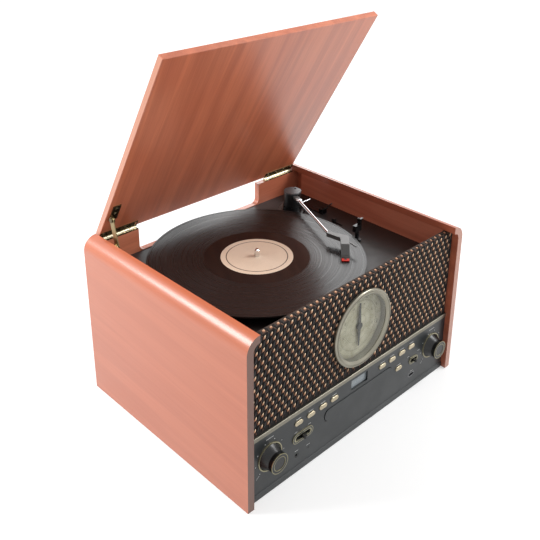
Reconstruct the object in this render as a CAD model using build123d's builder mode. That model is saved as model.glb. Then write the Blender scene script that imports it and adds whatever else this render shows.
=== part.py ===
from build123d import *
from math import acos, cos, degrees, radians, sin, sqrt
import os

os.makedirs("parts", exist_ok=True)

# Millimetres. X runs across the front, Y from front to back, Z up.
# Sizes along Y are measured from the front edges of the side panels.

# Driving sizes: the case is built round a standard record, with room beside
# it for the arm.
record_radius = 150.5
case_height = 242
board = 10
baffle_back = 21
record_front_gap = 2.4
record_left_gap = 5.7
record_overhang_gap = 4.6
arm_room = 111
case_width = 2 * record_radius + arm_room
case_depth = baffle_back + record_front_gap + 2 * record_radius + record_overhang_gap

# Wooden case
curl_reach = 20
floor_gap = 1
half_width = case_width / 2
inner_half = half_width - board
rear_board_thick = 9.3
rear_board_front = case_depth - rear_board_thick
deck_drop = 46.5
deck_thick = 2.5
deck_top = case_height - deck_drop
left_ear_width = 72.6
right_ear_width = 89.5
left_ear_end = left_ear_width - inner_half
right_ear_end = inner_half - right_ear_width
rail_rise = 1
rear_rail_top = deck_top + rail_rise
ear_corner_radius = 8
base_bottom = 6
base_thick = 9
base_top = base_bottom + base_thick
liner_thick = 8.5
liner_face = inner_half - liner_thick
liner_gap = 16.7
liner_end = rear_board_front - liner_gap
ledge = 12
ledge_start = 24
ledge_gap = 1.7
ledge_end = rear_board_front - ledge_gap
foot_radius = 13
foot_inset = 37
foot_edge = 1.5
socket_window = 150
socket_window_height = 60
socket_z = 62
vent_drop = 55.5
vent_z = deck_top - vent_drop
vent_pitch = 14
vent_row = 42
vent_count = 9
vent_length = 30
vent_width = 5
plate_sink = 2
phono_x = 45
phono_pitch = 18
phono_radius = 4
aerial_x = 5
aerial_radius = 4.5
socket_rise = 5
inlet_x = -48
inlet_length = 22
inlet_height = 13
inlet_depth = 14
inlet_wall = 1.5
inlet_pins = 8
inlet_pin = 1.1

# Boards inside the case
pillar = 8
pillar_radius = 5
pillar_inset = 10
sink_back = 20
sink_wall = 5
fin_thick = 2.5
fin_reach = 20
main_width = 170
main_length = 110
main_side_gap = 16
main_back_gap = 19.7
main_right = inner_half - main_side_gap
main_back = rear_board_front - main_back_gap
main_x = (main_right - main_width, main_right)
main_y = (main_back - main_length, main_back)
sink_length = 60
sink_height = 30
fin_pitch = 10
fin_count = 5
capacitor_radius = 6
capacitor_pitch = 20
capacitor_side = 40
capacitor_front = 30
capacitor_height = 20
transformer_side = 10
transformer_front = 25
transformer_width = 80
transformer_length = 50
transformer_x = (main_x[0] + transformer_side, main_x[0] + transformer_side + transformer_width)
transformer_y = (main_y[0] + transformer_front, main_y[0] + transformer_front + transformer_length)
transformer_foot = 2
coil_inset = 8
transformer_height = 48

# Front
cloth_front = 8.5
cloth_thick = 2.5
cloth_drop = 10.1
cloth_top = case_height - cloth_drop
cloth_round = 6
seam = 0.2
trim_bottom = 89.4
trim_height = 6.3
trim_top = trim_bottom + trim_height
trim_proud = 1.2
trim_depth = 4.6
panel_wall = 2.5
panel_bottom = 1.5
lip_height = 8
lip_proud = 1.4
hole_gap = 0.3

# Tuning dial
bezel_above = 16
bezel_below = 10.6
bezel_width = 8.3
bezel_radius = (cloth_top - trim_top - bezel_above - bezel_below) / 2
bezel_inner = bezel_radius - bezel_width
dial_z = trim_top + bezel_below + bezel_radius
bezel_proud = 4.2
bezel_round = 2.2
groove_inset = 2.9
groove_width = 1
groove_depth = 0.8
housing_edge = 5.3
housing_radius = bezel_radius - housing_edge
housing_wall = 1.5
speaker_below = 7.3
speaker_above = 6
speaker_room = deck_top - deck_thick - trim_top
speaker_radius = (speaker_room - speaker_below - speaker_above) / 2
speaker_z = trim_top + speaker_below + speaker_radius
speaker_edge = 7
speaker_hole = speaker_radius - speaker_edge
speaker_depth = 37
speaker_rim = 2
cone_depth = 22
voice_radius = 12
magnet_inset = 17
magnet_radius = speaker_radius - magnet_inset
glass_thick = 1.6
glass_rise = 3.2
plate_y = 15
plate_thick = 1.6
pointer_gap = 1.6
pointer_thick = 0.8
pointer_up_gap = 12.5
pointer_down_gap = 16.5
pointer_up = bezel_inner - pointer_up_gap
pointer_down = bezel_inner - pointer_down_gap
pointer_wide = 6
pointer_tip = 2
pointer_hub = 5
pointer_shaft = 1.5
drum_gap = 0.6
drum_thick = 3
drum_radius = 14

# Buttons, knobs and switches. Places across the panel are given for a panel
# whose half is layout_half, and spread with its width.
layout_half = 196
stretch = inner_half / layout_half
speaker_place = 125
speaker_x = speaker_place * stretch
button_length = 14
button_height = 6.5
button_proud = 1.5
button_travel = 1.2
button_1_place = 114.2
button_2_place = 92.4
button_3_place = 70.4
button_4_place = 48.8
button_half_row = [button_1_place, button_2_place, button_3_place, button_4_place]
button_row = [-x * stretch for x in button_half_row] + [x * stretch for x in reversed(button_half_row)]
button_row_z = 76.3
flange = 1.4
stem_radius = 2
stem_length = 1.4
button_edge = 0.8
knob_place = 162.8
knob_x = knob_place * stretch
knob_z = 54.7
knob_radius = 13.5
knob_length = 17.3
knob_groove = 0.5
knob_rim = 4.5
knob_lift = 0.5
head_length = 6
waist_radius = 12.4
skirt_height = 4.5
shaft_end = 11.7
pot_radius = 8
ring_radius = 19.5
ring_thick = 1.2
ring_width = 1.5
ring_gap = 0.6
bezel_step = 1.2
shaft_radius = 3
left_switch_place = 106.6
left_switch_z = 53.3
left_switch = (-left_switch_place * stretch, left_switch_z)
left_switch_size = (36, 14)
left_blade = 5
left_travel = 8
left_slot_room = 3
left_slot_height = 4.6
left_slot = (left_blade + 2 * left_travel + left_slot_room, left_slot_height)
right_switch_place = 121.5
right_switch_z = 50.4
right_switch = (right_switch_place * stretch, right_switch_z)
right_switch_size = (20, 10.5)
right_blade = 3.6
right_travel = 4
right_slot_room = 2
right_slot_height = 3.6
right_slot = (right_blade + 2 * right_travel + right_slot_room, right_slot_height)
lever_proud = 7
lever_tip = 5
usb_aside = 120
usb_z = 25.2
usb_place = (usb_aside * stretch, usb_z)
jack_aside = 117.2
jack_z = 27.2
jack_place = (-jack_aside * stretch, jack_z)
light_aside = 96.2
light_z = 26.9
light_place = (-light_aside * stretch, light_z)
usb_width = 13
usb_height = 5.6
jack_radius = 3.6
jack_bore = 1.8
light_radius = 1.6
window_size = (33, 15)
window_place = (1, 77.5)
display_edge = 1
board_y = 17
board_bottom = 18
board_top = 85
push_switch = 6
usb_wall = 0.6
circuit_thick = 1.6

# Disc drawer
drawer_left = -66.5
drawer_right = 71
lone_button_gap = 16
lone_button_z = 53
lone_button = (drawer_right + lone_button_gap, lone_button_z)
drawer_bottom = 48
drawer_top = 65
drawer_gap = 0.5
drawer_corner = 8
drawer_face_y = 7.7
drawer_face_thick = 3
drawer_travel = 135
drawer_held = 13
drawer_depth = drawer_travel + drawer_held
disc_radius = 61
disc_sink = 3
disc_rim = 3
hub_window = 34
tray_inset = 2.5
tray_thick = 6
mech_gap = 1.5
mech_wall = 2
mech_under = 12
mech_height = 36
mech_foot = 5
mech_foot_inset = 10

# Record deck
spindle_x = record_left_gap + record_radius - liner_face
spindle_y = baffle_back + record_front_gap + record_radius
record_rise = 15.4
record_top = deck_top + record_rise
record_thick = 1.9
label_radius = 50
label_recess = 0.25
mat_thick = 2
platter_radius = 100
platter_gap = 2
platter_wall = 4
spindle_radius = 3.55
spindle_rise = 11
running_gap = 0.06
hub_radius = 10
belt_ring_radius = 58
belt_ring_wall = 3
pulley_radius = 6
pulley_distance = 74
pulley_angle = 40
belt_thick = 0.7
belt_height = 4
belt_gap = 0.3
skirt_rise = 0.8
bearing_radius = 6
bearing_flange = 3
bearing_depth = 19.5
bearing_bottom = deck_top - bearing_depth
spindle_round = 1.5
record_rim = 3
motor_radius = 17
motor_height = 24
motor_shaft = 1
motor_ear = 10
shaft_bite = 6
deck_clear = 3
lever_stem = 2.6
lever_cap = 5
lever_foot = 1.5
speed_travel = 14
stop_travel = 20

# Tone arm
pivot_side_gap = 55.6
pivot_back_gap = 51.5
pivot_x = liner_face - pivot_side_gap
pivot_y = rear_board_front - pivot_back_gap
speed_aside = 15.1
speed_ahead = 76.2
speed_place = (pivot_x + speed_aside, pivot_y - speed_ahead)
stop_aside = 10.4
stop_ahead = 106.2
stop_place = (pivot_x - stop_aside, pivot_y - stop_ahead)
arm_heading = -114.5
arm_rise = 28
arm_z = deck_top + arm_rise
base_size = 42
base_turn = 30
base_height = 3.5
base_corner = 6
drum_height = 4.5
axle_radius = 4
cue_offset = (26.1, -42.2)
cue_width = 5
cue_cheek = 1.8
cue_foot = 4
cue_plate = 1.2
cue_hub = 3
cue_pin = 1.5
cue_rod = 0.9
cue_reach = 26
cue_rise = 45
turret_radius = 13.8
turret_gap = 0.6
cap_radius = 14
cap_thick = 2.5
cap_rise = 33.5
cap_top = deck_top + cap_rise
cap_edge = 1
tube_radius = 2.35
tube_start = 29
tube_end = 147
link_width = 8
link_thick = 3
link_back = 8
link_end = 32
wire_place = 37
wire_radius = 0.7
wire_length = 20
trunnion_length = 2.5
trunnion_radius = 2
slot_gap = 0.8
shell_heading = -136
shell_aside = 54.9
shell_ahead = 158.2
shell_x = pivot_x - shell_aside
shell_y = pivot_y - shell_ahead
shell_length = 21.5
shell_width = 12
shell_above = 2.5
shell_below = 3.5
shell_top = arm_z + shell_above
shell_bottom = arm_z - shell_below
nose_reach = 15.5
nose_drop = 11
nose_lip = 2.5
neck_radius = 3.2
finger_length = 18
finger_thick = 1.6
finger_turn = 34
finger_place = (15.2, 10.4)
cartridge_width = 10.5
cartridge_start = 8
cartridge_height = 7
cartridge_bottom = shell_bottom - cartridge_height
stylus_reach = 7.5
stylus_length = 15
stylus_nose = 1
stylus_gap = 0.5
rest_turn = 22.5
rest_reach = 139.6
rest_foot = 15
rest_post = 3
prong_gap = 0.7
prong_thick = 3
prong_ear = 1
cradle_thick = 10
cradle_left = 7
clip_radius = 1.4
clip_pin = 0.7
clip_length = 6.5

# Lid, hinges and stay
lid_side_gap = 21.5
lid_width = case_width - 2 * lid_side_gap
lid_thick = 9
lid_open = 59.25
hinge_back = 3.1
hinge_drop = 10.2
hinge_y = case_depth - hinge_back
hinge_z = case_height - hinge_drop
lid_edge_gap = 3.4
lid_overhang = 5.5
lid_length = hinge_y - lid_edge_gap + lid_overhang
leaf_thick = 1.0
leaf_gap = 0.15
leaf_length = 60
leaf_reach = 11
lid_screw_inset = 7
lid_edge_soft = 0.6
hinge_edge_gap = 1
hinge_x = lid_width / 2 - hinge_edge_gap - leaf_length / 2
knuckle_radius = 2.5
pin_radius = 1.2
knuckles = 5
knuckle_gap = 0.3
screw_radius = 1.9
screw_head = 0.5
case_screw_head = 1.4
screw_pitch = 17
screw_shank = 1.2
screw_length = 8
screw_gap = 0.05
knuckle_clear = 0.3
screw_edge = 1.7
stay_inset = 15
stay_plate_x = stay_inset - liner_face
stay_screws = (51.3, 60.9)
stay_link_gap = 0.8
wall_plate = 14
stay_plate_near = 38
stay_plate_far = 67
stay_plate_width = 12
stay_thick = 1.3
stay_width = 9
stay_along = 46
stay_off = 6.4
stay_wall_ahead = 43.9
stay_wall_drop = 28.8
stay_wall_y = hinge_y - stay_wall_ahead
stay_wall_z = hinge_z - stay_wall_drop
stay_upper = 37
stay_slope = 76
rivet_radius = 2
rivet_head = 3.4

# The origin is the middle of the footprint: halfway from the knob faces
# to the back corner of the open lid, at floor level.
knob_face = cloth_front - knob_length
open_angle = radians(lid_open)
lid_bottom = hinge_z + leaf_gap + leaf_thick
ear_top = hinge_z - leaf_gap - leaf_thick
lid_top = lid_bottom + lid_thick
lid_tip_back = hinge_y - lid_edge_gap * cos(open_angle) + (lid_top - hinge_z) * sin(open_angle)
y0 = -(knob_face + lid_tip_back) / 2

# Hinge screws: four to a leaf, in line along the ear and along the lid.
screw_offsets = [(i - 1.5) * screw_pitch for i in range(4)]
screw_y = rear_board_front + screw_edge + seam
case_screw_places = [(hand * hinge_x + dx, screw_y) for hand in (-1, 1) for dx in screw_offsets]

floor = Plane((0, y0, 0))
face = Plane(origin=(0, y0, 0), x_dir=(1, 0, 0), z_dir=(0, -1, 0))
side = Plane(origin=(0, y0, 0), x_dir=(0, 1, 0), z_dir=(1, 0, 0))


def level(z):
    """A flat plane at height z, drawn in X and Y."""
    return floor.offset(z)


def front(y):
    """An upright plane at depth y, drawn in X and Z, looking to the front."""
    return face.offset(-y)


def across(x):
    """An upright plane at x, drawn in Y and Z."""
    return side.offset(x)


def span(a, b, c, d):
    """A rectangle from (a, c) to (b, d)."""
    with Locations(((a + b) / 2, (c + d) / 2)):
        Rectangle(abs(b - a), abs(d - c))


def slab(plane, a, b, c, d, thick, mode=Mode.ADD):
    """A block on a plane from (a, c) to (b, d)."""
    with BuildSketch(plane) as outline:
        span(a, b, c, d)
    extrude(outline.sketch, amount=thick, mode=mode)


def disc(plane, x, y, radius, thick, mode=Mode.ADD):
    """A round block on a plane."""
    with BuildSketch(plane) as outline:
        with Locations((x, y)):
            Circle(radius)
    extrude(outline.sketch, amount=thick, mode=mode)


def pill(plane, x, y, length, height, thick, mode=Mode.ADD, turn=0):
    """A block with half-round ends."""
    with BuildSketch(plane) as outline:
        with Locations((x, y)):
            SlotOverall(length, height, rotation=turn)
    extrude(outline.sketch, amount=thick, mode=mode)


def under_curls(half, top):
    """Rounds a board's upper corners so that it fits under both curls."""
    with BuildSketch(front(0)) as outline:
        with Locations((0, top - case_height / 2)):
            RectangleRounded(2 * half, case_height, top - bend_z)
    extrude(outline.sketch, amount=-case_depth, mode=Mode.INTERSECT)


# Side panels: each board bends over at the top into a curl, and carries
# a ledge for the record deck inside.
bend_z = case_height - curl_reach
bend_x = half_width - curl_reach
with BuildPart() as side_panel_right:
    with BuildSketch(front(0)):
        with BuildLine():
            Line((half_width, floor_gap), (half_width, bend_z))
            CenterArc((bend_x, bend_z), curl_reach, 0, 90)
            Line((bend_x, case_height), (bend_x, case_height - board))
            CenterArc((bend_x, bend_z), curl_reach - board, 0, 90)
            Line((inner_half, bend_z), (inner_half, floor_gap))
            Line((inner_half, floor_gap), (half_width, floor_gap))
        make_face()
    extrude(amount=-case_depth)
    deck_bottom = deck_top - deck_thick
    slab(level(deck_bottom - ledge), inner_half - ledge, inner_half + 1, ledge_start, ledge_end, ledge)
with BuildPart() as side_panel_left:
    mirror(side_panel_right.part, about=Plane.YZ)
side_panel_right.part.label = "side_panel_right"
side_panel_left.part.label = "side_panel_left"
export_step(side_panel_right.part, "parts/side_panel_right.step")
export_step(side_panel_left.part, "parts/side_panel_left.step")

# Liners: two boards on the deck that hide the side panels inside the well.
with BuildPart() as well_liners:
    inner_curl = curl_reach - board
    liner_turn = degrees(acos((liner_face - bend_x) / inner_curl))
    liner_peak = bend_z + sqrt(inner_curl**2 - (liner_face - bend_x) ** 2)
    with BuildSketch(front(baffle_back)):
        with BuildLine():
            Line((liner_face, liner_peak), (liner_face, deck_top))
            Line((liner_face, deck_top), (inner_half, deck_top))
            Line((inner_half, deck_top), (inner_half, bend_z))
            CenterArc((bend_x, bend_z), inner_curl, 0, liner_turn)
        make_face()
    extrude(amount=baffle_back - liner_end)
    mirror(about=Plane.YZ)
well_liners.part.label = "well_liners"
export_step(well_liners.part, "parts/well_liners.step")

# Rear board: two ears carry the hinges, and the middle is cut down to a rail.
with BuildPart() as rear_board:
    slab(front(rear_board_front), -inner_half, inner_half, base_bottom, ear_top, -rear_board_thick)
    under_curls(inner_half, ear_top)
    with BuildSketch(front(rear_board_front)):
        with Locations(((left_ear_end + right_ear_end) / 2, rear_rail_top + case_height / 2)):
            RectangleRounded(right_ear_end - left_ear_end, case_height, ear_corner_radius)
    extrude(amount=-rear_board_thick, mode=Mode.SUBTRACT)
    for hand in (-1, 1):
        rebate = leaf_length / 2 + knuckle_clear
        slab(
            level(hinge_z - knuckle_radius - knuckle_clear),
            hand * hinge_x - rebate,
            hand * hinge_x + rebate,
            hinge_y - knuckle_radius - knuckle_clear,
            case_depth + 1,
            board,
            Mode.SUBTRACT,
        )
    with BuildSketch(level(ear_top)):
        with Locations(*case_screw_places):
            Circle(screw_shank + screw_gap)
    extrude(amount=-screw_length, mode=Mode.SUBTRACT)
    slab(
        front(rear_board_front),
        -socket_window / 2,
        socket_window / 2,
        socket_z - socket_window_height / 2,
        socket_z + socket_window_height / 2,
        -rear_board_thick,
        Mode.SUBTRACT,
    )
    with BuildSketch(front(rear_board_front)):
        with Locations((0, vent_z)):
            with GridLocations(vent_pitch, vent_row, vent_count, 2):
                SlotOverall(vent_length, vent_width, rotation=90)
    extrude(amount=-rear_board_thick, mode=Mode.SUBTRACT)
rear_board.part.label = "rear_board"
export_step(rear_board.part, "parts/rear_board.step")

# Base board and feet.
with BuildPart() as base_board:
    slab(level(base_bottom), -inner_half, inner_half, baffle_back + seam, rear_board_front, base_thick)
base_board.part.label = "base_board"
export_step(base_board.part, "parts/base_board.step")

with BuildPart() as feet:
    with BuildSketch(level(0)):
        with Locations((0, case_depth / 2)):
            with GridLocations(case_width - 2 * foot_inset, case_depth - 2 * foot_inset, 2, 2):
                Circle(foot_radius)
    extrude(amount=base_bottom)
    chamfer(feet.edges().group_by(Axis.Z)[0], foot_edge)
feet.part.label = "feet"
export_step(feet.part, "parts/feet.step")

# Front baffle with its dial and speaker holes.
baffle_top = cloth_top - cloth_thick
baffle_front = cloth_front + cloth_thick
with BuildPart() as front_baffle:
    slab(front(baffle_front), -inner_half, inner_half, trim_bottom, baffle_top, baffle_front - baffle_back)
    top_edge = front_baffle.edges().filter_by(Axis.X).group_by(Axis.Z)[-1].sort_by(Axis.Y)[0]
    fillet(top_edge, cloth_round - cloth_thick)
    under_curls(inner_half, baffle_top)
    disc(front(0), 0, dial_z, housing_radius + hole_gap, -case_depth, Mode.SUBTRACT)
    for hand in (-1, 1):
        disc(front(0), hand * speaker_x, speaker_z, speaker_hole, -case_depth, Mode.SUBTRACT)
front_baffle.part.label = "front_baffle"
export_step(front_baffle.part, "parts/front_baffle.step")

# Grille cloth: it covers the baffle and turns back over its top edge.
cloth_half = inner_half - seam
with BuildPart() as grille_cloth:
    with BuildSketch(across(-cloth_half)):
        round_y = cloth_front + cloth_round
        round_z = cloth_top - cloth_round
        cloth_bottom = trim_bottom + trim_height
        with BuildLine():
            Line((cloth_front, cloth_bottom), (cloth_front, round_z))
            CenterArc((round_y, round_z), cloth_round, 90, 90)
            Line((round_y, cloth_top), (baffle_back, cloth_top))
            Line((baffle_back, cloth_top), (baffle_back, baffle_top))
            Line((baffle_back, baffle_top), (round_y, baffle_top))
            CenterArc((round_y, round_z), cloth_round - cloth_thick, 90, 90)
            Line((baffle_front, round_z), (baffle_front, cloth_bottom))
            Line((baffle_front, cloth_bottom), (cloth_front, cloth_bottom))
        make_face()
    extrude(amount=2 * cloth_half)
    under_curls(cloth_half, cloth_top)
    disc(front(0), 0, dial_z, housing_radius + hole_gap, -case_depth, Mode.SUBTRACT)
grille_cloth.part.label = "grille_cloth"
export_step(grille_cloth.part, "parts/grille_cloth.step")

# Trim strip between the cloth and the control panel.
with BuildPart() as trim_strip:
    slab(
        front(cloth_front - trim_proud),
        -cloth_half,
        cloth_half,
        trim_bottom,
        trim_bottom + trim_height,
        -(trim_proud + cloth_thick),
    )
    chamfer(trim_strip.edges().filter_by(Axis.X).group_by(Axis.Y)[0], trim_proud / 2)
trim_strip.part.label = "trim_strip"
export_step(trim_strip.part, "parts/trim_strip.step")

# Control panel: a shell that is open at the back, with a proud strip along its foot.
button_places = [(x, button_row_z) for x in button_row] + [lone_button]
drawer_x = (drawer_left + drawer_right) / 2
drawer_z = (drawer_bottom + drawer_top) / 2
drawer_width = drawer_right - drawer_left
drawer_height = drawer_top - drawer_bottom
with BuildPart() as control_panel:
    with BuildSketch(across(-cloth_half)):
        span(cloth_front, baffle_back, panel_bottom, trim_bottom)
        with BuildLine():
            Polyline(
                (cloth_front, panel_bottom + lip_height),
                (cloth_front - lip_proud, panel_bottom + lip_height - lip_proud),
                (cloth_front - lip_proud, panel_bottom),
                (cloth_front, panel_bottom),
                close=True,
            )
        make_face()
    extrude(amount=2 * cloth_half)
    with BuildSketch(across(-cloth_half + panel_wall)):
        span(cloth_front + panel_wall, baffle_back, panel_bottom + panel_wall, trim_bottom - panel_wall)
    extrude(amount=2 * (cloth_half - panel_wall), mode=Mode.SUBTRACT)
    with BuildSketch(front(cloth_front)):
        with Locations(*button_places):
            SlotOverall(button_length + 2 * hole_gap, button_height + 2 * hole_gap)
        with Locations((-knob_x, knob_z), (knob_x, knob_z)):
            Circle(shaft_radius + hole_gap)
        with Locations(left_switch):
            SlotOverall(*left_slot)
        with Locations(right_switch):
            SlotOverall(*right_slot)
        with Locations(jack_place):
            Circle(jack_radius + seam)
        with Locations(light_place):
            Circle(light_radius + seam)
        with Locations(usb_place):
            Rectangle(usb_width + 2 * seam, usb_height + 2 * seam)
        with Locations(window_place):
            Rectangle(*window_size)
        with Locations((drawer_x, drawer_z)):
            RectangleRounded(drawer_width + 2 * drawer_gap, drawer_height + 2 * drawer_gap, drawer_corner)
    extrude(amount=-panel_wall, mode=Mode.SUBTRACT)
control_panel.part.label = "control_panel"
export_step(control_panel.part, "parts/control_panel.step")

# Plated rings round the knobs and the switches.
with BuildPart() as panel_rings:
    with BuildSketch(front(cloth_front)):
        with Locations((-knob_x, knob_z), (knob_x, knob_z)):
            Circle(ring_radius)
            Circle(ring_radius - ring_width, mode=Mode.SUBTRACT)
        with Locations(left_switch):
            SlotOverall(*left_switch_size)
            SlotOverall(left_slot[0] + 2 * bezel_step, left_slot[1] + 2 * bezel_step, mode=Mode.SUBTRACT)
        with Locations(right_switch):
            SlotOverall(*right_switch_size)
            SlotOverall(right_slot[0] + 2 * bezel_step, right_slot[1] + 2 * bezel_step, mode=Mode.SUBTRACT)
    extrude(amount=ring_thick)
panel_rings.part.label = "panel_rings"
export_step(panel_rings.part, "parts/panel_rings.step")

# Dial: a plated bezel with its housing, a domed glass, a plate and a pointer.
bezel_front = cloth_front - bezel_proud
housing_back = baffle_back - seam
dial_line = Axis((0, y0, dial_z), (0, 1, 0))
groove_radius = bezel_radius - groove_inset
with BuildPart() as dial_bezel:
    with BuildSketch(Plane(origin=(0, y0, dial_z), x_dir=(0, 1, 0), z_dir=(1, 0, 0))) as bezel_section:
        with BuildLine():
            Polyline(
                (cloth_front, bezel_radius),
                (bezel_front, bezel_radius),
                (bezel_front, groove_radius),
                (bezel_front + groove_depth, groove_radius),
                (bezel_front + groove_depth, groove_radius - groove_width),
                (bezel_front, groove_radius - groove_width),
                (bezel_front, housing_radius),
                (bezel_front + bezel_round, bezel_inner),
                (housing_back - housing_wall, bezel_inner),
                (housing_back - housing_wall, pointer_shaft + running_gap),
                (housing_back, pointer_shaft + running_gap),
                (housing_back, housing_radius),
                (cloth_front, housing_radius),
                close=True,
            )
        make_face()
        rim = bezel_section.vertices().group_by(Axis.Y)[-1].sort_by(Axis.X)[0]
        fillet(rim, bezel_round)
    revolve(axis=dial_line)
dial_bezel.part.label = "dial_bezel"
export_step(dial_bezel.part, "parts/dial_bezel.step")

glass_back = bezel_front + bezel_round + glass_thick
glass_radius = bezel_inner - seam
glass_edge = glass_back - glass_thick
dome_y = glass_edge - glass_rise
dome_radius = (glass_radius**2 + glass_rise**2) / (2 * glass_rise)
half_way = glass_radius / 2
sag = dome_radius - sqrt(dome_radius**2 - half_way**2)
with BuildPart() as dial_glass:
    with BuildSketch(Plane(origin=(0, y0, dial_z), x_dir=(0, 1, 0), z_dir=(1, 0, 0))):
        with BuildLine():
            Line((glass_back, glass_radius), (glass_edge, glass_radius))
            ThreePointArc((glass_edge, glass_radius), (dome_y + sag, half_way), (dome_y, 0))
            Line((dome_y, 0), (dome_y + glass_thick, 0))
            ThreePointArc(
                (dome_y + glass_thick, 0),
                (dome_y + glass_thick + sag, half_way),
                (glass_back, glass_radius),
            )
        make_face()
    revolve(axis=dial_line)
dial_glass.part.label = "dial_glass"
export_step(dial_glass.part, "parts/dial_glass.step")

with BuildPart() as dial_plate:
    disc(front(plate_y), 0, dial_z, glass_radius, -plate_thick)
    disc(front(plate_y), 0, dial_z, pointer_shaft + hole_gap, -plate_thick, Mode.SUBTRACT)
dial_plate.part.label = "dial_plate"
export_step(dial_plate.part, "parts/dial_plate.step")

# Pointer: blade, hub, shaft and the drum that its drive cord turns.
pointer_y = plate_y - pointer_gap - pointer_thick
with BuildPart() as dial_pointer:
    with BuildSketch(front(pointer_y)):
        with BuildLine():
            Polyline(
                (-pointer_wide / 2, dial_z),
                (-pointer_tip / 2, dial_z + pointer_up),
                (pointer_tip / 2, dial_z + pointer_up),
                (pointer_wide / 2, dial_z),
                (pointer_tip / 2, dial_z - pointer_down),
                (-pointer_tip / 2, dial_z - pointer_down),
                close=True,
            )
        make_face()
    extrude(amount=-pointer_thick)
    disc(front(pointer_y - pointer_thick), 0, dial_z, pointer_hub, -2 * pointer_thick)
    disc(front(pointer_y), 0, dial_z, pointer_shaft, pointer_y - housing_back - drum_gap - drum_thick)
    disc(front(housing_back + drum_gap), 0, dial_z, drum_radius, -drum_thick)
dial_pointer.part.label = "dial_pointer"
export_step(dial_pointer.part, "parts/dial_pointer.step")

# Push buttons: a pill-shaped cap, a flange behind the panel and a stem.
button_names = [f"button_{i}" for i in range(1, len(button_places) + 1)]
flange_y = cloth_front + panel_wall + hole_gap
for name, (x, z) in zip(button_names, button_places):
    with BuildPart() as button:
        button_face = cloth_front - button_proud
        pill(front(button_face), x, z, button_length, button_height, button_face - flange_y)
        fillet(button.faces().sort_by(Axis.Y)[0].edges(), button_edge)
        pill(front(flange_y), x, z, button_length + 2 * flange, button_height + 2 * flange, -flange)
        disc(front(flange_y), x, z, stem_radius, -(flange + stem_length))
    button.part.label = name
    export_step(button.part, f"parts/{name}.step")

# Knobs: a wide skirt inside the ring, a waist, and a grooved face.
for name, hand in (("volume_knob", -1), ("tuning_knob", 1)):
    with BuildPart() as knob:
        knob_plane = Plane(origin=(hand * knob_x, y0, knob_z), x_dir=(0, 1, 0), z_dir=(1, 0, 0))
        skirt_radius = ring_radius - ring_width - ring_gap
        skirt_back = cloth_front - knob_lift
        head_back = knob_face + head_length
        with BuildSketch(knob_plane):
            with BuildLine():
                Polyline(
                    (head_back, waist_radius),
                    (head_back, knob_radius),
                    (knob_face, knob_radius),
                    (knob_face, knob_radius - knob_rim),
                    (knob_face + knob_groove, knob_radius - knob_rim),
                    (knob_face + knob_groove, 0),
                    (shaft_end, 0),
                    (shaft_end, shaft_radius),
                    (skirt_back, shaft_radius),
                    (skirt_back, skirt_radius),
                    (skirt_back - knob_lift, skirt_radius),
                )
                Bezier(
                    (skirt_back - knob_lift, skirt_radius),
                    (skirt_back - skirt_height, skirt_radius - skirt_height / 2),
                    (head_back, waist_radius),
                )
            make_face()
        revolve(axis=Axis((hand * knob_x, y0, knob_z), (0, 1, 0)))
    knob.part.label = name
    export_step(knob.part, f"parts/{name}.step")

# Slide switches: a blade through the slot and a foot behind the panel.
switches = (
    ("source_switch", left_switch, left_slot, left_blade),
    ("band_switch", right_switch, right_slot, right_blade),
)
for name, (x, z), slot, blade in switches:
    with BuildPart() as slide_switch:
        height = slot[1] - 2 * hole_gap
        with BuildSketch(level(z - height / 2)) as blade_outline:
            with BuildLine():
                Polyline(
                    (x - blade / 2, cloth_front - lever_tip),
                    (x - blade / 4, cloth_front - lever_proud),
                    (x + blade / 4, cloth_front - lever_proud),
                    (x + blade / 2, cloth_front - lever_tip),
                    (x + blade / 2, flange_y),
                    (x - blade / 2, flange_y),
                    close=True,
                )
            make_face()
        extrude(amount=height)
        slab(front(flange_y), x - blade, x + blade, z - height, z + height, -flange)
    slide_switch.part.label = name
    export_step(slide_switch.part, f"parts/{name}.step")

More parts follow.
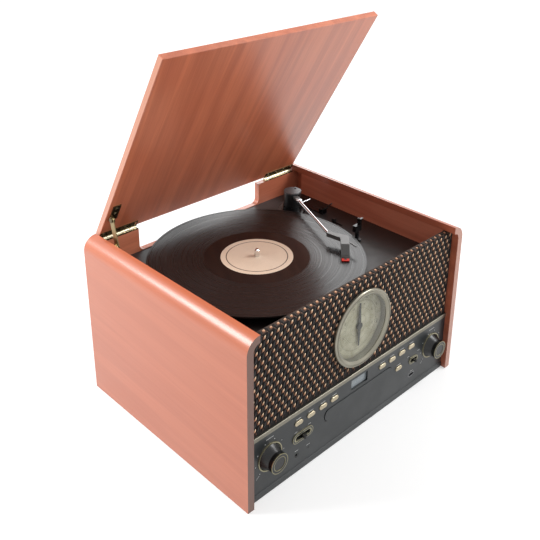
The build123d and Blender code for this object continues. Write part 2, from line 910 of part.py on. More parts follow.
# Control board: one soldered assembly with its push switches, pots, slide
# switch bodies, display, socket, jack and status light.
board_half = cloth_half - panel_wall - 2
switch_face = flange_y + flange + stem_length + button_travel + seam
with BuildPart() as control_board:
    slab(front(board_y), -board_half, board_half, board_bottom, board_top, -circuit_thick)
    slab(
        front(board_y),
        drawer_left - 2 * drawer_gap,
        drawer_right + 2 * drawer_gap,
        drawer_bottom - 2 * drawer_gap,
        drawer_top + 2 * drawer_gap,
        -circuit_thick,
        Mode.SUBTRACT,
    )
    with BuildSketch(front(switch_face)):
        with Locations(*button_places):
            Rectangle(push_switch, push_switch)
    extrude(amount=switch_face - board_y)
    with BuildSketch(front(shaft_end + hole_gap)):
        with Locations((-knob_x, knob_z), (knob_x, knob_z)):
            Circle(pot_radius)
    extrude(amount=shaft_end + hole_gap - board_y)
    slide_face = flange_y + flange + hole_gap
    for (x, z), (length, height), blade in (
        (left_switch, left_slot, left_blade),
        (right_switch, right_slot, right_blade),
    ):
        slab(
            front(slide_face),
            x - length / 2,
            x + length / 2,
            z - height,
            z + height,
            slide_face - board_y,
        )
    display_y = cloth_front + panel_wall + seam
    x, z = window_place
    width, height = window_size
    slab(
        front(display_y),
        x - width / 2 - display_edge,
        x + width / 2 + display_edge,
        z - height / 2,
        z + height / 2 + display_edge,
        display_y - board_y,
    )
    x, z = jack_place
    disc(front(cloth_front + seam), x, z, jack_radius, cloth_front + seam - board_y)
    disc(front(cloth_front + seam), x, z, jack_bore, cloth_front + seam - board_y, Mode.SUBTRACT)
    x, z = light_place
    disc(front(cloth_front + seam), x, z, light_radius, cloth_front + seam - board_y)
    x, z = usb_place
    slab(
        front(cloth_front + seam),
        x - usb_width / 2,
        x + usb_width / 2,
        z - usb_height / 2,
        z + usb_height / 2,
        cloth_front + seam - board_y,
    )
    slab(
        front(cloth_front + seam),
        x - usb_width / 2 + usb_wall,
        x + usb_width / 2 - usb_wall,
        z - usb_height / 2 + usb_wall,
        z + usb_height / 2 - usb_wall,
        cloth_front + seam - board_y,
        Mode.SUBTRACT,
    )
control_board.part.label = "control_board"
export_step(control_board.part, "parts/control_board.step")

# Disc drawer: the face, and a tray with a round well and an open middle.
tray_left = drawer_left + tray_inset
tray_right = drawer_right - tray_inset
tray_bottom = drawer_bottom + tray_inset
tray_back = drawer_face_y + drawer_face_thick + drawer_depth
disc_y = tray_back - disc_radius - disc_rim
with BuildPart() as disc_drawer:
    with BuildSketch(front(drawer_face_y)):
        with Locations((drawer_x, drawer_z)):
            RectangleRounded(drawer_width, drawer_height, drawer_corner)
    extrude(amount=-drawer_face_thick)
    tray_front = drawer_face_y + drawer_face_thick
    slab(level(tray_bottom), tray_left, tray_right, tray_front, tray_back, tray_thick)
    disc(level(tray_bottom + tray_thick), drawer_x, disc_y, disc_radius, -disc_sink, Mode.SUBTRACT)
    pill(
        level(tray_bottom),
        drawer_x,
        disc_y,
        2 * disc_radius - disc_rim,
        hub_window,
        tray_thick,
        Mode.SUBTRACT,
        turn=90,
    )
disc_drawer.part.label = "disc_drawer"
export_step(disc_drawer.part, "parts/disc_drawer.step")

# Disc mechanism: a housing on four legs, open at the front for the drawer.
with BuildPart() as disc_mechanism:
    mech_left = tray_left - mech_gap - mech_wall
    mech_right = tray_right + mech_gap + mech_wall
    mech_front = board_y + circuit_thick + mech_gap
    mech_back = tray_back + mech_gap + mech_wall
    mech_bottom = tray_bottom - mech_under
    slab(level(mech_bottom), mech_left, mech_right, mech_front, mech_back, mech_height)
    slab(
        level(tray_bottom - mech_gap),
        mech_left + mech_wall,
        mech_right - mech_wall,
        mech_front,
        mech_back - mech_wall,
        tray_thick + 2 * mech_gap,
        Mode.SUBTRACT,
    )
    with BuildSketch(level(base_top)):
        with Locations((drawer_x, (mech_front + mech_back) / 2)):
            with GridLocations(
                mech_right - mech_left - 2 * mech_foot_inset,
                mech_back - mech_front - 2 * mech_foot_inset,
                2,
                2,
            ):
                Circle(mech_foot)
    extrude(amount=mech_bottom - base_top)
disc_mechanism.part.label = "disc_mechanism"
export_step(disc_mechanism.part, "parts/disc_mechanism.step")

# Loudspeakers: frame, cone and magnet behind each side of the baffle.
with BuildPart() as speakers:
    with BuildSketch(Plane(origin=(speaker_x, y0, speaker_z), x_dir=(0, 1, 0), z_dir=(1, 0, 0))):
        with BuildLine():
            Polyline(
                (baffle_back, speaker_hole),
                (baffle_back, speaker_radius),
                (baffle_back + speaker_rim, speaker_radius),
                (baffle_back + speaker_rim, speaker_radius - 2 * speaker_rim),
                (baffle_back + cone_depth, voice_radius + speaker_rim),
                (baffle_back + cone_depth, magnet_radius),
                (baffle_back + speaker_depth, magnet_radius),
                (baffle_back + speaker_depth, 0),
                (baffle_back + cone_depth - speaker_rim, 0),
                (baffle_back + cone_depth - speaker_rim, voice_radius),
                close=True,
            )
        make_face()
    revolve(axis=Axis((speaker_x, y0, speaker_z), (0, 1, 0)))
    mirror(about=Plane.YZ)
speakers.part.label = "speakers"
export_step(speakers.part, "parts/speakers.step")

# Socket plate in the rear window: phono pair, aerial terminal and mains inlet.
plate_front = rear_board_front + plate_sink
with BuildPart() as socket_plate:
    slab(
        front(plate_front),
        -socket_window / 2 + seam,
        socket_window / 2 - seam,
        socket_z - socket_window_height / 2 + seam,
        socket_z + socket_window_height / 2 - seam,
        -plate_thick,
    )
    with BuildSketch(front(plate_front + plate_thick)):
        with Locations((phono_x, socket_z)):
            with GridLocations(phono_pitch, 1, 2, 1):
                Circle(phono_radius)
        with Locations((aerial_x, socket_z)):
            Circle(aerial_radius)
    extrude(amount=-socket_rise)
    with BuildSketch(front(plate_front)):
        with Locations((inlet_x, socket_z)):
            SlotOverall(inlet_length, inlet_height)
    extrude(amount=inlet_depth)
    with BuildSketch(front(plate_front + plate_thick)):
        with Locations((inlet_x, socket_z)):
            SlotOverall(inlet_length - 2 * inlet_wall, inlet_height - 2 * inlet_wall)
    extrude(amount=inlet_depth, mode=Mode.SUBTRACT)
    with BuildSketch(front(plate_front + inlet_wall - inlet_depth)):
        with Locations((inlet_x, socket_z)):
            with GridLocations(inlet_pins, 1, 2, 1):
                Circle(inlet_pin)
    extrude(amount=-(inlet_depth - inlet_wall))
socket_plate.part.label = "socket_plate"
export_step(socket_plate.part, "parts/socket_plate.step")

# Main board on pillars: heat sink, capacitors and the mains transformer.
with BuildPart() as main_board:
    slab(level(base_top + pillar), *main_x, *main_y, circuit_thick)
    with BuildSketch(level(base_top)):
        with Locations(((main_x[0] + main_x[1]) / 2, (main_y[0] + main_y[1]) / 2)):
            with GridLocations(main_width - 2 * pillar_inset, main_length - 2 * pillar_inset, 2, 2):
                Circle(pillar_radius)
    extrude(amount=pillar)
    main_top = base_top + pillar + circuit_thick
    with BuildSketch(level(main_top)):
        with Locations((main_right - sink_length / 2 - pillar_inset, main_back - sink_back)):
            Rectangle(sink_length, sink_wall)
            with GridLocations(fin_pitch, 1, fin_count, 1):
                Rectangle(fin_thick, fin_reach)
    extrude(amount=sink_height)
    with BuildSketch(level(main_top)):
        with Locations((main_right - capacitor_side, main_y[0] + capacitor_front)):
            with GridLocations(capacitor_pitch, capacitor_pitch, 3, 2):
                Circle(capacitor_radius)
    extrude(amount=capacitor_height)
    slab(level(main_top), *transformer_x, *transformer_y, transformer_foot)
    slab(
        level(main_top),
        transformer_x[0] + coil_inset,
        transformer_x[1] - coil_inset,
        transformer_y[0],
        transformer_y[1],
        transformer_height,
    )
    slab(
        level(main_top + coil_inset),
        transformer_x[0] + 2 * coil_inset,
        transformer_x[1] - 2 * coil_inset,
        transformer_y[0] - coil_inset,
        transformer_y[1] + coil_inset,
        transformer_height - 2 * coil_inset,
    )
main_board.part.label = "main_board"
export_step(main_board.part, "parts/main_board.step")

# Record deck: the plate across the well.
pulley_x = spindle_x + pulley_distance * cos(radians(pulley_angle))
pulley_y = spindle_y + pulley_distance * sin(radians(pulley_angle))
with BuildPart() as deck_plate:
    slab(level(deck_top), -inner_half, inner_half, baffle_back, rear_board_front, -deck_thick)
    disc(level(deck_top), spindle_x, spindle_y, bearing_radius + seam, -deck_thick, Mode.SUBTRACT)
    disc(level(deck_top), pulley_x, pulley_y, pulley_radius + deck_clear, -deck_thick, Mode.SUBTRACT)
    disc(level(deck_top), pivot_x, pivot_y, axle_radius + deck_clear, -deck_thick, Mode.SUBTRACT)
    for (x, y), travel in ((speed_place, speed_travel), (stop_place, stop_travel)):
        slab(
            level(deck_top),
            x - lever_stem / 2 - hole_gap,
            x + lever_stem / 2 + hole_gap,
            y - travel - lever_stem,
            y + lever_stem,
            -deck_thick,
            Mode.SUBTRACT,
        )
deck_plate.part.label = "deck_plate"
export_step(deck_plate.part, "parts/deck_plate.step")

# Fixed spindle in its bearing.
spindle_line = Axis((spindle_x, y0 + spindle_y, 0), (0, 0, 1))
platter_bottom = deck_top + platter_gap
platter_top = record_top - record_thick - mat_thick
spindle_top = record_top + spindle_rise
with BuildPart() as spindle:
    with BuildSketch(Plane(origin=(spindle_x, y0 + spindle_y, 0), x_dir=(1, 0, 0), z_dir=(0, -1, 0))):
        with BuildLine():
            Polyline(
                (0, bearing_bottom),
                (spindle_radius, bearing_bottom),
                (spindle_radius, deck_bottom - bearing_flange),
                (3 * bearing_radius, deck_bottom - bearing_flange),
                (3 * bearing_radius, deck_bottom),
                (bearing_radius, deck_bottom),
                (bearing_radius, platter_bottom - running_gap),
                (spindle_radius, platter_bottom - running_gap),
                (spindle_radius, spindle_top - spindle_round),
                (spindle_radius - spindle_round, spindle_top),
                (0, spindle_top),
                close=True,
            )
        make_face()
    revolve(axis=spindle_line)
spindle.part.label = "spindle"
export_step(spindle.part, "parts/spindle.step")

# Platter: an inverted dish with a hub and an inner ring for the belt.
with BuildPart() as platter:
    with BuildSketch(Plane(origin=(spindle_x, y0 + spindle_y, 0), x_dir=(1, 0, 0), z_dir=(0, -1, 0))):
        skirt = platter_bottom + skirt_rise
        under = platter_top - platter_wall
        with BuildLine():
            Polyline(
                (spindle_radius + running_gap, platter_bottom),
                (hub_radius, platter_bottom),
                (hub_radius, under),
                (belt_ring_radius - belt_ring_wall, under),
                (belt_ring_radius - belt_ring_wall, skirt),
                (belt_ring_radius, skirt),
                (belt_ring_radius, under),
                (platter_radius - platter_wall, under),
                (platter_radius - platter_wall, skirt),
                (platter_radius, skirt),
                (platter_radius, platter_top),
                (spindle_radius + running_gap, platter_top),
                close=True,
            )
        make_face()
    revolve(axis=spindle_line)
platter.part.label = "platter"
export_step(platter.part, "parts/platter.step")

with BuildPart() as platter_mat:
    disc(level(platter_top), spindle_x, spindle_y, platter_radius, mat_thick)
    disc(level(platter_top), spindle_x, spindle_y, spindle_radius + running_gap, mat_thick, Mode.SUBTRACT)
platter_mat.part.label = "platter_mat"
export_step(platter_mat.part, "parts/platter_mat.step")

# Record, with the grooved band a little below its rim and its label.
with BuildPart() as record:
    disc(level(record_top), spindle_x, spindle_y, record_radius, -record_thick)
    with BuildSketch(level(record_top)):
        with Locations((spindle_x, spindle_y)):
            Circle(record_radius - record_rim)
            Circle(label_radius, mode=Mode.SUBTRACT)
    extrude(amount=-label_recess, mode=Mode.SUBTRACT)
    disc(level(record_top), spindle_x, spindle_y, spindle_radius + running_gap, -record_thick, Mode.SUBTRACT)
record.part.label = "record"
export_step(record.part, "parts/record.step")

# Belt drive: motor under the deck, pulley and flat belt.
skirt_bottom = platter_bottom + skirt_rise
belt_z = skirt_bottom + seam
with BuildPart() as motor_pulley:
    disc(level(skirt_bottom), pulley_x, pulley_y, pulley_radius, belt_height + 2 * seam)
    disc(level(skirt_bottom), pulley_x, pulley_y, motor_shaft, deck_bottom - shaft_bite - skirt_bottom)
motor_pulley.part.label = "motor_pulley"
export_step(motor_pulley.part, "parts/motor_pulley.step")

with BuildPart() as platter_motor:
    slab(
        level(deck_bottom),
        pulley_x - motor_radius - motor_ear,
        pulley_x + motor_radius + motor_ear,
        pulley_y - motor_ear,
        pulley_y + motor_ear,
        -bearing_flange,
    )
    disc(level(deck_bottom), pulley_x, pulley_y, motor_radius, -motor_height)
    shaft_hole = motor_shaft + running_gap
    disc(level(deck_bottom), pulley_x, pulley_y, shaft_hole, -(shaft_bite + seam), Mode.SUBTRACT)
platter_motor.part.label = "platter_motor"
export_step(platter_motor.part, "parts/platter_motor.step")

with BuildPart() as drive_belt:
    for reach, mode in ((belt_gap + belt_thick, Mode.ADD), (belt_gap, Mode.SUBTRACT)):
        with BuildSketch(level(belt_z)) as belt_loop:
            with Locations((spindle_x, spindle_y)):
                Circle(belt_ring_radius + reach)
            with Locations((pulley_x, pulley_y)):
                Circle(pulley_radius + reach)
            make_hull()
        extrude(amount=belt_height, mode=mode)
drive_belt.part.label = "drive_belt"
export_step(drive_belt.part, "parts/drive_belt.step")

# Tone arm base: a turned square plate, a drum and the lifting lever's bracket.
pivot_line = Axis((pivot_x, y0 + pivot_y, 0), (0, 0, 1))
base_plane = Plane(origin=(pivot_x, y0 + pivot_y, deck_top), z_dir=(0, 0, 1)).rotated((0, 0, base_turn))
turret_bottom = deck_top + base_height + drum_height + turret_gap
cue_x = pivot_x + cue_offset[0]
cue_y = pivot_y + cue_offset[1]
cue_z = deck_top + cue_plate + cue_hub + hole_gap
with BuildPart() as arm_base:
    with BuildSketch(base_plane):
        RectangleRounded(base_size, base_size, base_corner)
    extrude(amount=base_height)
    disc(level(deck_top), pivot_x, pivot_y, cap_radius + 1, base_height + drum_height)
    slab(
        level(deck_top),
        cue_x - cue_width / 2 - cue_cheek - seam,
        cue_x + cue_width / 2 + cue_cheek + seam,
        cue_y - cue_foot,
        pivot_y,
        cue_plate,
    )
    for near, far in ((-cue_cheek - seam, -seam), (cue_width + seam, cue_width + seam + cue_cheek)):
        slab(
            level(deck_top),
            cue_x - cue_width / 2 + near,
            cue_x - cue_width / 2 + far,
            cue_y - cue_foot,
            cue_y + cue_foot,
            cue_z + cue_hub - deck_top,
        )
    axle_hole = axle_radius + running_gap
    disc(level(deck_top - deck_thick), pivot_x, pivot_y, axle_hole, case_height, Mode.SUBTRACT)
    with BuildSketch(across(0)):
        with Locations((cue_y, cue_z)):
            Circle(cue_pin + running_gap)
    extrude(amount=half_width, mode=Mode.SUBTRACT)
arm_base.part.label = "arm_base"
export_step(arm_base.part, "parts/arm_base.step")

# Lifting lever.
with BuildPart() as cue_lever:
    with BuildSketch(across(cue_x - cue_width / 2)):
        with Locations((cue_y, cue_z)):
            Circle(cue_hub)
    extrude(amount=cue_width)
    with BuildSketch(across(cue_x - cue_width / 2 - cue_cheek - seam)):
        with Locations((cue_y, cue_z)):
            Circle(cue_pin)
    extrude(amount=cue_width + 2 * cue_cheek + 2 * seam)
    with BuildSketch(across(cue_x - cue_rod)):
        rod_y = cue_y - cue_reach / 2 * cos(radians(cue_rise))
        rod_z = cue_z + cue_reach / 2 * sin(radians(cue_rise))
        with Locations((rod_y, rod_z)):
            SlotOverall(cue_reach, 2 * cue_rod, rotation=-cue_rise)
    extrude(amount=2 * cue_rod)
cue_lever.part.label = "cue_lever"
export_step(cue_lever.part, "parts/cue_lever.step")

# Turret: an axle, a drum with a slot for the arm, and a cap with one screw.
arm_turn = Plane(origin=(pivot_x, y0 + pivot_y, 0), z_dir=(0, 0, 1)).rotated((0, 0, arm_heading))
arm_side = Plane(origin=(pivot_x, y0 + pivot_y, arm_z), x_dir=arm_turn.x_dir, z_dir=-arm_turn.y_dir)
trunnion_half = link_width / 2 + trunnion_length
cap_bottom = cap_top - cap_thick
with BuildPart() as arm_turret:
    disc(level(turret_bottom), pivot_x, pivot_y, turret_radius, cap_bottom - turret_bottom)
    disc(level(cap_bottom), pivot_x, pivot_y, cap_radius, cap_thick)
    fillet(arm_turret.edges().group_by(Axis.Z)[-1], cap_edge)
    disc(level(turret_bottom), pivot_x, pivot_y, axle_radius, deck_bottom - turret_bottom)
    with BuildSketch(arm_turn.offset(arm_z - link_thick / 2 - slot_gap)):
        with Locations((0, 0)):
            Rectangle(2 * link_back + 2 * slot_gap, link_width + 2 * slot_gap)
        with Locations((turret_radius, 0)):
            Rectangle(2 * turret_radius, link_width + 2 * slot_gap)
    extrude(amount=link_thick + 2 * slot_gap, mode=Mode.SUBTRACT)
    with BuildSketch(arm_side):
        Circle(trunnion_radius + running_gap)
    extrude(amount=trunnion_half + seam, both=True, mode=Mode.SUBTRACT)
    with BuildSketch(arm_turn.offset(cap_top)):
        with Locations((-cap_radius / 2, cap_radius / 2)):
            Circle(screw_radius)
    extrude(amount=screw_head * 2)
arm_turret.part.label = "arm_turret"
export_step(arm_turret.part, "parts/arm_turret.step")

# Arm: flat link with trunnions, bright tube, neck and headshell in one.
tube_tip = arm_turn.from_local_coords((tube_end, 0, 0))
shell_rear = (shell_x, y0 + shell_y)
shell_plane = Plane(origin=(shell_x, y0 + shell_y, 0), z_dir=(0, 0, 1)).rotated((0, 0, shell_heading))
shell_side_way = shell_plane.x_dir.cross(Vector(0, 0, 1))
shell_side = Plane(origin=(shell_x, y0 + shell_y, 0), x_dir=shell_plane.x_dir, z_dir=shell_side_way)
nose_tip = (shell_length + nose_reach, shell_top - nose_drop)
nose_under = (nose_tip[0] - nose_lip, nose_tip[1] - nose_lip)
nose_root = (shell_length - nose_lip, shell_bottom)
with BuildPart() as tone_arm:
    with BuildSketch(arm_turn.offset(arm_z - link_thick / 2)):
        with Locations(((link_end - link_back) / 2, 0)):
            Rectangle(link_end + link_back, link_width)
    extrude(amount=link_thick)
    with BuildSketch(arm_side):
        Circle(trunnion_radius)
    extrude(amount=trunnion_half, both=True)
    tube_start_point = arm_turn.from_local_coords((tube_start, 0, arm_z))
    with BuildSketch(Plane(origin=tube_start_point, z_dir=arm_turn.x_dir)):
        Circle(tube_radius)
    extrude(amount=tube_end - tube_start)
    wire_start = arm_turn.from_local_coords((wire_place, 0, arm_z))
    with BuildSketch(Plane(origin=wire_start, z_dir=(1, 0, 0))):
        Circle(wire_radius)
    extrude(amount=wire_length)
    with BuildSketch(Plane.XY.offset(shell_bottom)):
        with Locations((tube_tip.X, tube_tip.Y)):
            Circle(neck_radius)
        with Locations(shell_rear):
            Circle(shell_width / 2)
        make_hull()
    extrude(amount=shell_top - shell_bottom)
    with BuildSketch(shell_plane.offset(shell_bottom)):
        with Locations((shell_length / 2, 0)):
            Rectangle(shell_length, shell_width)
    extrude(amount=shell_top - shell_bottom)
    with BuildSketch(shell_side):
        with BuildLine():
            Polyline(
                (shell_length / 2, shell_top),
                (shell_length, shell_top),
                nose_tip,
                nose_under,
                nose_root,
                (shell_length / 2, shell_bottom),
                close=True,
            )
        make_face()
    extrude(amount=shell_width / 2, both=True)
    with BuildSketch(shell_plane.offset(shell_bottom + finger_thick)):
        with Locations(finger_place):
            Rectangle(finger_length, finger_thick, rotation=finger_turn)
    extrude(amount=finger_thick)
tone_arm.part.label = "tone_arm"
export_step(tone_arm.part, "parts/tone_arm.step")

# Cartridge and stylus under the headshell.
stylus_bottom = record_top + stylus_gap
stylus_tip = nose_tip[0] + stylus_reach
with BuildPart() as cartridge:
    with BuildSketch(shell_side):
        with BuildLine():
            Polyline(
                (cartridge_start, shell_bottom),
                nose_root,
                nose_under,
                nose_tip,
                (stylus_tip, stylus_bottom + stylus_nose),
                (stylus_tip, stylus_bottom),
                (stylus_tip - stylus_length, stylus_bottom),
                (stylus_tip - stylus_length - nose_lip, cartridge_bottom),
                (cartridge_start, cartridge_bottom),
                close=True,
            )
        make_face()
    extrude(amount=cartridge_width / 2, both=True)
cartridge.part.label = "cartridge"
export_step(cartridge.part, "parts/cartridge.step")

# Arm rest: a post with a cradle that is open to the left, and a clip on it.
rest_heading = radians(arm_heading + rest_turn)
rest_x = pivot_x + rest_reach * cos(rest_heading)
rest_y = pivot_y + rest_reach * sin(rest_heading)
prong_x = rest_x + tube_radius + prong_gap
clip_z = arm_z + tube_radius + prong_gap + clip_radius
with BuildPart() as arm_rest:
    pill(level(deck_top), rest_x, rest_y, rest_foot, rest_post * 3, base_height, turn=90)
    disc(level(deck_top), rest_x, rest_y, rest_post, arm_z - tube_radius - hole_gap - 1 - deck_top)
    cradle_top = arm_z - tube_radius - hole_gap
    slab(
        level(cradle_top),
        rest_x - cradle_left,
        prong_x + prong_thick,
        rest_y - rest_post,
        rest_y + rest_post,
        -cradle_thick,
    )
    slab(
        level(cradle_top),
        prong_x,
        prong_x + prong_thick,
        rest_y - rest_post,
        rest_y + rest_post,
        clip_z - clip_radius - hole_gap - cradle_top,
    )
    for end in (-1, 1):
        slab(
            level(cradle_top),
            prong_x,
            prong_x + prong_thick,
            rest_y + end * rest_post,
            rest_y + end * (rest_post - prong_ear),
            clip_z + clip_radius - cradle_top,
        )
    with BuildSketch(front(0)):
        with Locations((prong_x + prong_thick / 2, clip_z)):
            Circle(clip_pin + running_gap)
    extrude(amount=-case_depth, mode=Mode.SUBTRACT)
arm_rest.part.label = "arm_rest"
export_step(arm_rest.part, "parts/arm_rest.step")

clip_x = prong_x + prong_thick / 2
clip_half = rest_post - prong_ear - hole_gap
with BuildPart() as arm_clip:
    with BuildSketch(front(rest_y - clip_half)):
        with Locations((clip_x, clip_z)):
            Circle(clip_radius)
    extrude(amount=-2 * clip_half)
    with BuildSketch(front(rest_y - rest_post)):
        with Locations((clip_x, clip_z)):
            Circle(clip_pin)
    extrude(amount=-2 * rest_post)
    slab(
        level(clip_z - clip_radius / 2),
        clip_x,
        clip_x + clip_length,
        rest_y - clip_half,
        rest_y + clip_half,
        clip_radius,
    )
arm_clip.part.label = "arm_clip"
export_step(arm_clip.part, "parts/arm_clip.step")

# Deck levers: a cap above the plate, a stem through it and a foot below.
for name, (x, y), cap_height in (("speed_lever", speed_place, 6), ("stop_lever", stop_place, 4)):
    with BuildPart() as deck_lever:
        cap_half = lever_cap / 2
        slab(level(deck_top + hole_gap), x - cap_half, x + cap_half, y - lever_stem, y + lever_stem, cap_height)
        slab(
            level(deck_top + hole_gap),
            x - lever_stem / 2,
            x + lever_stem / 2,
            y - lever_stem / 2,
            y + lever_stem / 2,
            -(deck_thick + 2 * hole_gap + lever_foot),
        )
        slab(
            level(deck_bottom - hole_gap),
            x - lever_cap / 2,
            x + lever_cap / 2,
            y - lever_cap / 2,
            y + lever_cap / 2,
            -lever_foot,
        )
    deck_lever.part.label = name
    export_step(deck_lever.part, f"parts/{name}.step")

# Lid, drawn flat in the plane of its hinge line. Y runs to its back edge.
lid_plane = Plane(
    origin=(0, y0 + hinge_y, hinge_z),
    x_dir=(1, 0, 0),
    z_dir=(0, sin(open_angle), cos(open_angle)),
)
lid_face = leaf_gap + leaf_thick
lid_screw_y = -lid_edge_gap - lid_screw_inset
lid_screw_places = [(hand * hinge_x + dx, lid_screw_y) for hand in (-1, 1) for dx in screw_offsets]
stay_screw_places = [(stay_plate_x, -lid_edge_gap - along) for along in stay_screws]
with BuildPart() as lid:
    with BuildSketch(lid_plane.offset(lid_face)):
        with Locations((0, -lid_edge_gap - lid_length / 2)):
            Rectangle(lid_width, lid_length)
    extrude(amount=lid_thick)
    chamfer(lid.edges(), lid_edge_soft)
    with BuildSketch(lid_plane.offset(lid_face)):
        with Locations(*lid_screw_places, *stay_screw_places):
            Circle(screw_shank + screw_gap)
    extrude(amount=screw_length, mode=Mode.SUBTRACT)
lid.part.label = "lid"
export_step(lid.part, "parts/lid.step")

# Hinges: a leaf on the ear, a leaf on the lid, and knuckles in turn.
knuckle_pitch = leaf_length / knuckles
knuckle_length = knuckle_pitch - knuckle_gap


def knuckle_row(plane, first, turned):
    """Every other knuckle of both hinges, each with a tongue to its leaf."""
    for hand in (-1, 1):
        for i in range(first, knuckles, 2):
            x = hand * hinge_x + (i - (knuckles - 1) / 2) * knuckle_pitch
            roll_start = (x - knuckle_length / 2, y0 + hinge_y, hinge_z)
            with BuildSketch(Plane(origin=roll_start, z_dir=(1, 0, 0))) as roll:
                Circle(knuckle_radius)
            extrude(roll.sketch, amount=knuckle_length)
            with BuildSketch(plane) as tongue:
                with Locations((x, turned - tongue_length / 2)):
                    Rectangle(knuckle_length, tongue_length)
            extrude(tongue.sketch, amount=leaf_thick)


tongue_length = knuckle_radius + knuckle_clear + 1
hinge_line = Plane(origin=(0, y0 + hinge_y, hinge_z), z_dir=(1, 0, 0))
with BuildPart() as case_hinges:
    leaf_front = rear_board_front + seam
    leaf_back = hinge_y - knuckle_radius - knuckle_clear
    for hand in (-1, 1):
        left = hand * hinge_x - leaf_length / 2
        slab(level(ear_top), left, left + leaf_length, leaf_front, leaf_back, leaf_thick)
    knuckle_row(level(ear_top), 0, hinge_y)
    with BuildSketch(hinge_line):
        Circle(pin_radius)
    extrude(amount=half_width, both=True)
    middle = hinge_x - leaf_length / 2
    with BuildSketch(hinge_line):
        Circle(pin_radius)
    extrude(amount=middle, both=True, mode=Mode.SUBTRACT)
    for hand in (-1, 1):
        with BuildSketch(Plane(origin=(hand * half_width, y0 + hinge_y, hinge_z), z_dir=(-hand, 0, 0))):
            Circle(pin_radius)
        extrude(amount=half_width - hinge_x - leaf_length / 2, mode=Mode.SUBTRACT)
    with BuildSketch(level(ear_top)):
        with Locations(*case_screw_places):
            Circle(screw_shank + screw_gap)
    extrude(amount=leaf_thick, mode=Mode.SUBTRACT)
    with BuildSketch(level(ear_top + leaf_thick)):
        with Locations(*case_screw_places):
            Circle(case_screw_head + screw_gap)
    extrude(amount=-screw_head, mode=Mode.SUBTRACT)
case_hinges.part.label = "case_hinges"
export_step(case_hinges.part, "parts/case_hinges.step")

with BuildPart() as case_screws:
    with BuildSketch(level(ear_top + leaf_thick)):
        with Locations(*case_screw_places):
            Circle(case_screw_head)
    extrude(amount=-screw_head)
    with BuildSketch(level(ear_top + leaf_thick)):
        with Locations(*case_screw_places):
            Circle(screw_shank)
    extrude(amount=-screw_length)
case_screws.part.label = "case_screws"
export_step(case_screws.part, "parts/case_screws.step")

with BuildPart() as lid_hinges:
    with BuildSketch(lid_plane.offset(leaf_gap)):
        with Locations(*[(hand * hinge_x, -leaf_reach / 2 - tongue_length + 1) for hand in (-1, 1)]):
            Rectangle(leaf_length, leaf_reach)
    extrude(amount=leaf_thick)
    knuckle_row(lid_plane.offset(leaf_gap), 1, 0)
    with BuildSketch(hinge_line):
        Circle(pin_radius + screw_gap)
    extrude(amount=half_width, both=True, mode=Mode.SUBTRACT)
    with BuildSketch(lid_plane.offset(leaf_gap)):
        with Locations(*lid_screw_places):
            Circle(screw_shank + screw_gap)
    extrude(amount=leaf_thick, mode=Mode.SUBTRACT)
lid_hinges.part.label = "lid_hinges"
export_step(lid_hinges.part, "parts/lid_hinges.step")

# Lid screws: eight in the hinge leaves and two in the stay's plate.
with BuildPart() as lid_screws:
    for places, seat in ((lid_screw_places, leaf_gap), (stay_screw_places, lid_face - stay_thick)):
        with BuildSketch(lid_plane.offset(seat)):
            with Locations(*places):
                Circle(screw_radius)
        extrude(amount=-screw_head)
        with BuildSketch(lid_plane.offset(seat)):
            with Locations(*places):
                Circle(screw_shank)
        extrude(amount=screw_length)
lid_screws.part.label = "lid_screws"
export_step(lid_screws.part, "parts/lid_screws.step")

# Lid stay: a plate on the lid with a tab, two flat links and a wall bracket.
lid_pin_y = -lid_edge_gap - stay_along
lid_pin_z = lid_face - stay_off
tab_x = stay_plate_x - stay_plate_width / 2
with BuildPart() as stay_lid_bracket:
    with BuildSketch(lid_plane.offset(lid_face)):
        with Locations((stay_plate_x, -lid_edge_gap - (stay_plate_near + stay_plate_far) / 2)):
            Rectangle(stay_plate_width, stay_plate_far - stay_plate_near)
        with Locations(*stay_screw_places):
            Circle(screw_shank + screw_gap, mode=Mode.SUBTRACT)
    extrude(amount=-stay_thick)
    stay_side = Plane(origin=(tab_x, 0, 0) + lid_plane.origin, x_dir=lid_plane.y_dir, z_dir=(1, 0, 0))
    with BuildSketch(stay_side):
        with Locations((lid_pin_y, lid_pin_z)):
            Circle(stay_width / 2)
        with Locations((lid_pin_y, (lid_pin_z + lid_face) / 2)):
            Rectangle(stay_width, lid_face - lid_pin_z)
    extrude(amount=stay_thick)
    with BuildSketch(stay_side):
        with Locations((lid_pin_y, lid_pin_z)):
            Circle(rivet_radius)
    extrude(amount=-(stay_thick + 2 * hole_gap + screw_head))
    with BuildSketch(stay_side.offset(-(stay_thick + 2 * hole_gap))):
        with Locations((lid_pin_y, lid_pin_z)):
            Circle(rivet_head)
    extrude(amount=-2 * screw_head)
stay_lid_bracket.part.label = "stay_lid_bracket"
export_step(stay_lid_bracket.part, "parts/stay_lid_bracket.step")

# Where the links stand with the lid open: the upper one slopes down to the
# elbow, and the lower one runs on to the wall pin, nearly in line with it.
pin_y = hinge_y + lid_pin_y * cos(open_angle) + lid_pin_z * sin(open_angle)
pin_z = hinge_z - lid_pin_y * sin(open_angle) + lid_pin_z * cos(open_angle)
elbow_y = pin_y - stay_upper * cos(radians(stay_slope))
elbow_z = pin_z - stay_upper * sin(radians(stay_slope))
upper_x = tab_x - hole_gap
lower_x = upper_x - stay_thick - stay_link_gap


def stay_bar(x, start, end, bore):
    """A flat link from one pin to the other, with its hole at the start."""
    with BuildSketch(across(x)) as bar:
        for place in (start, end):
            with Locations(place):
                Circle(stay_width / 2)
        make_hull()
        with Locations(start):
            Circle(bore, mode=Mode.SUBTRACT)
    extrude(bar.sketch, amount=-stay_thick)


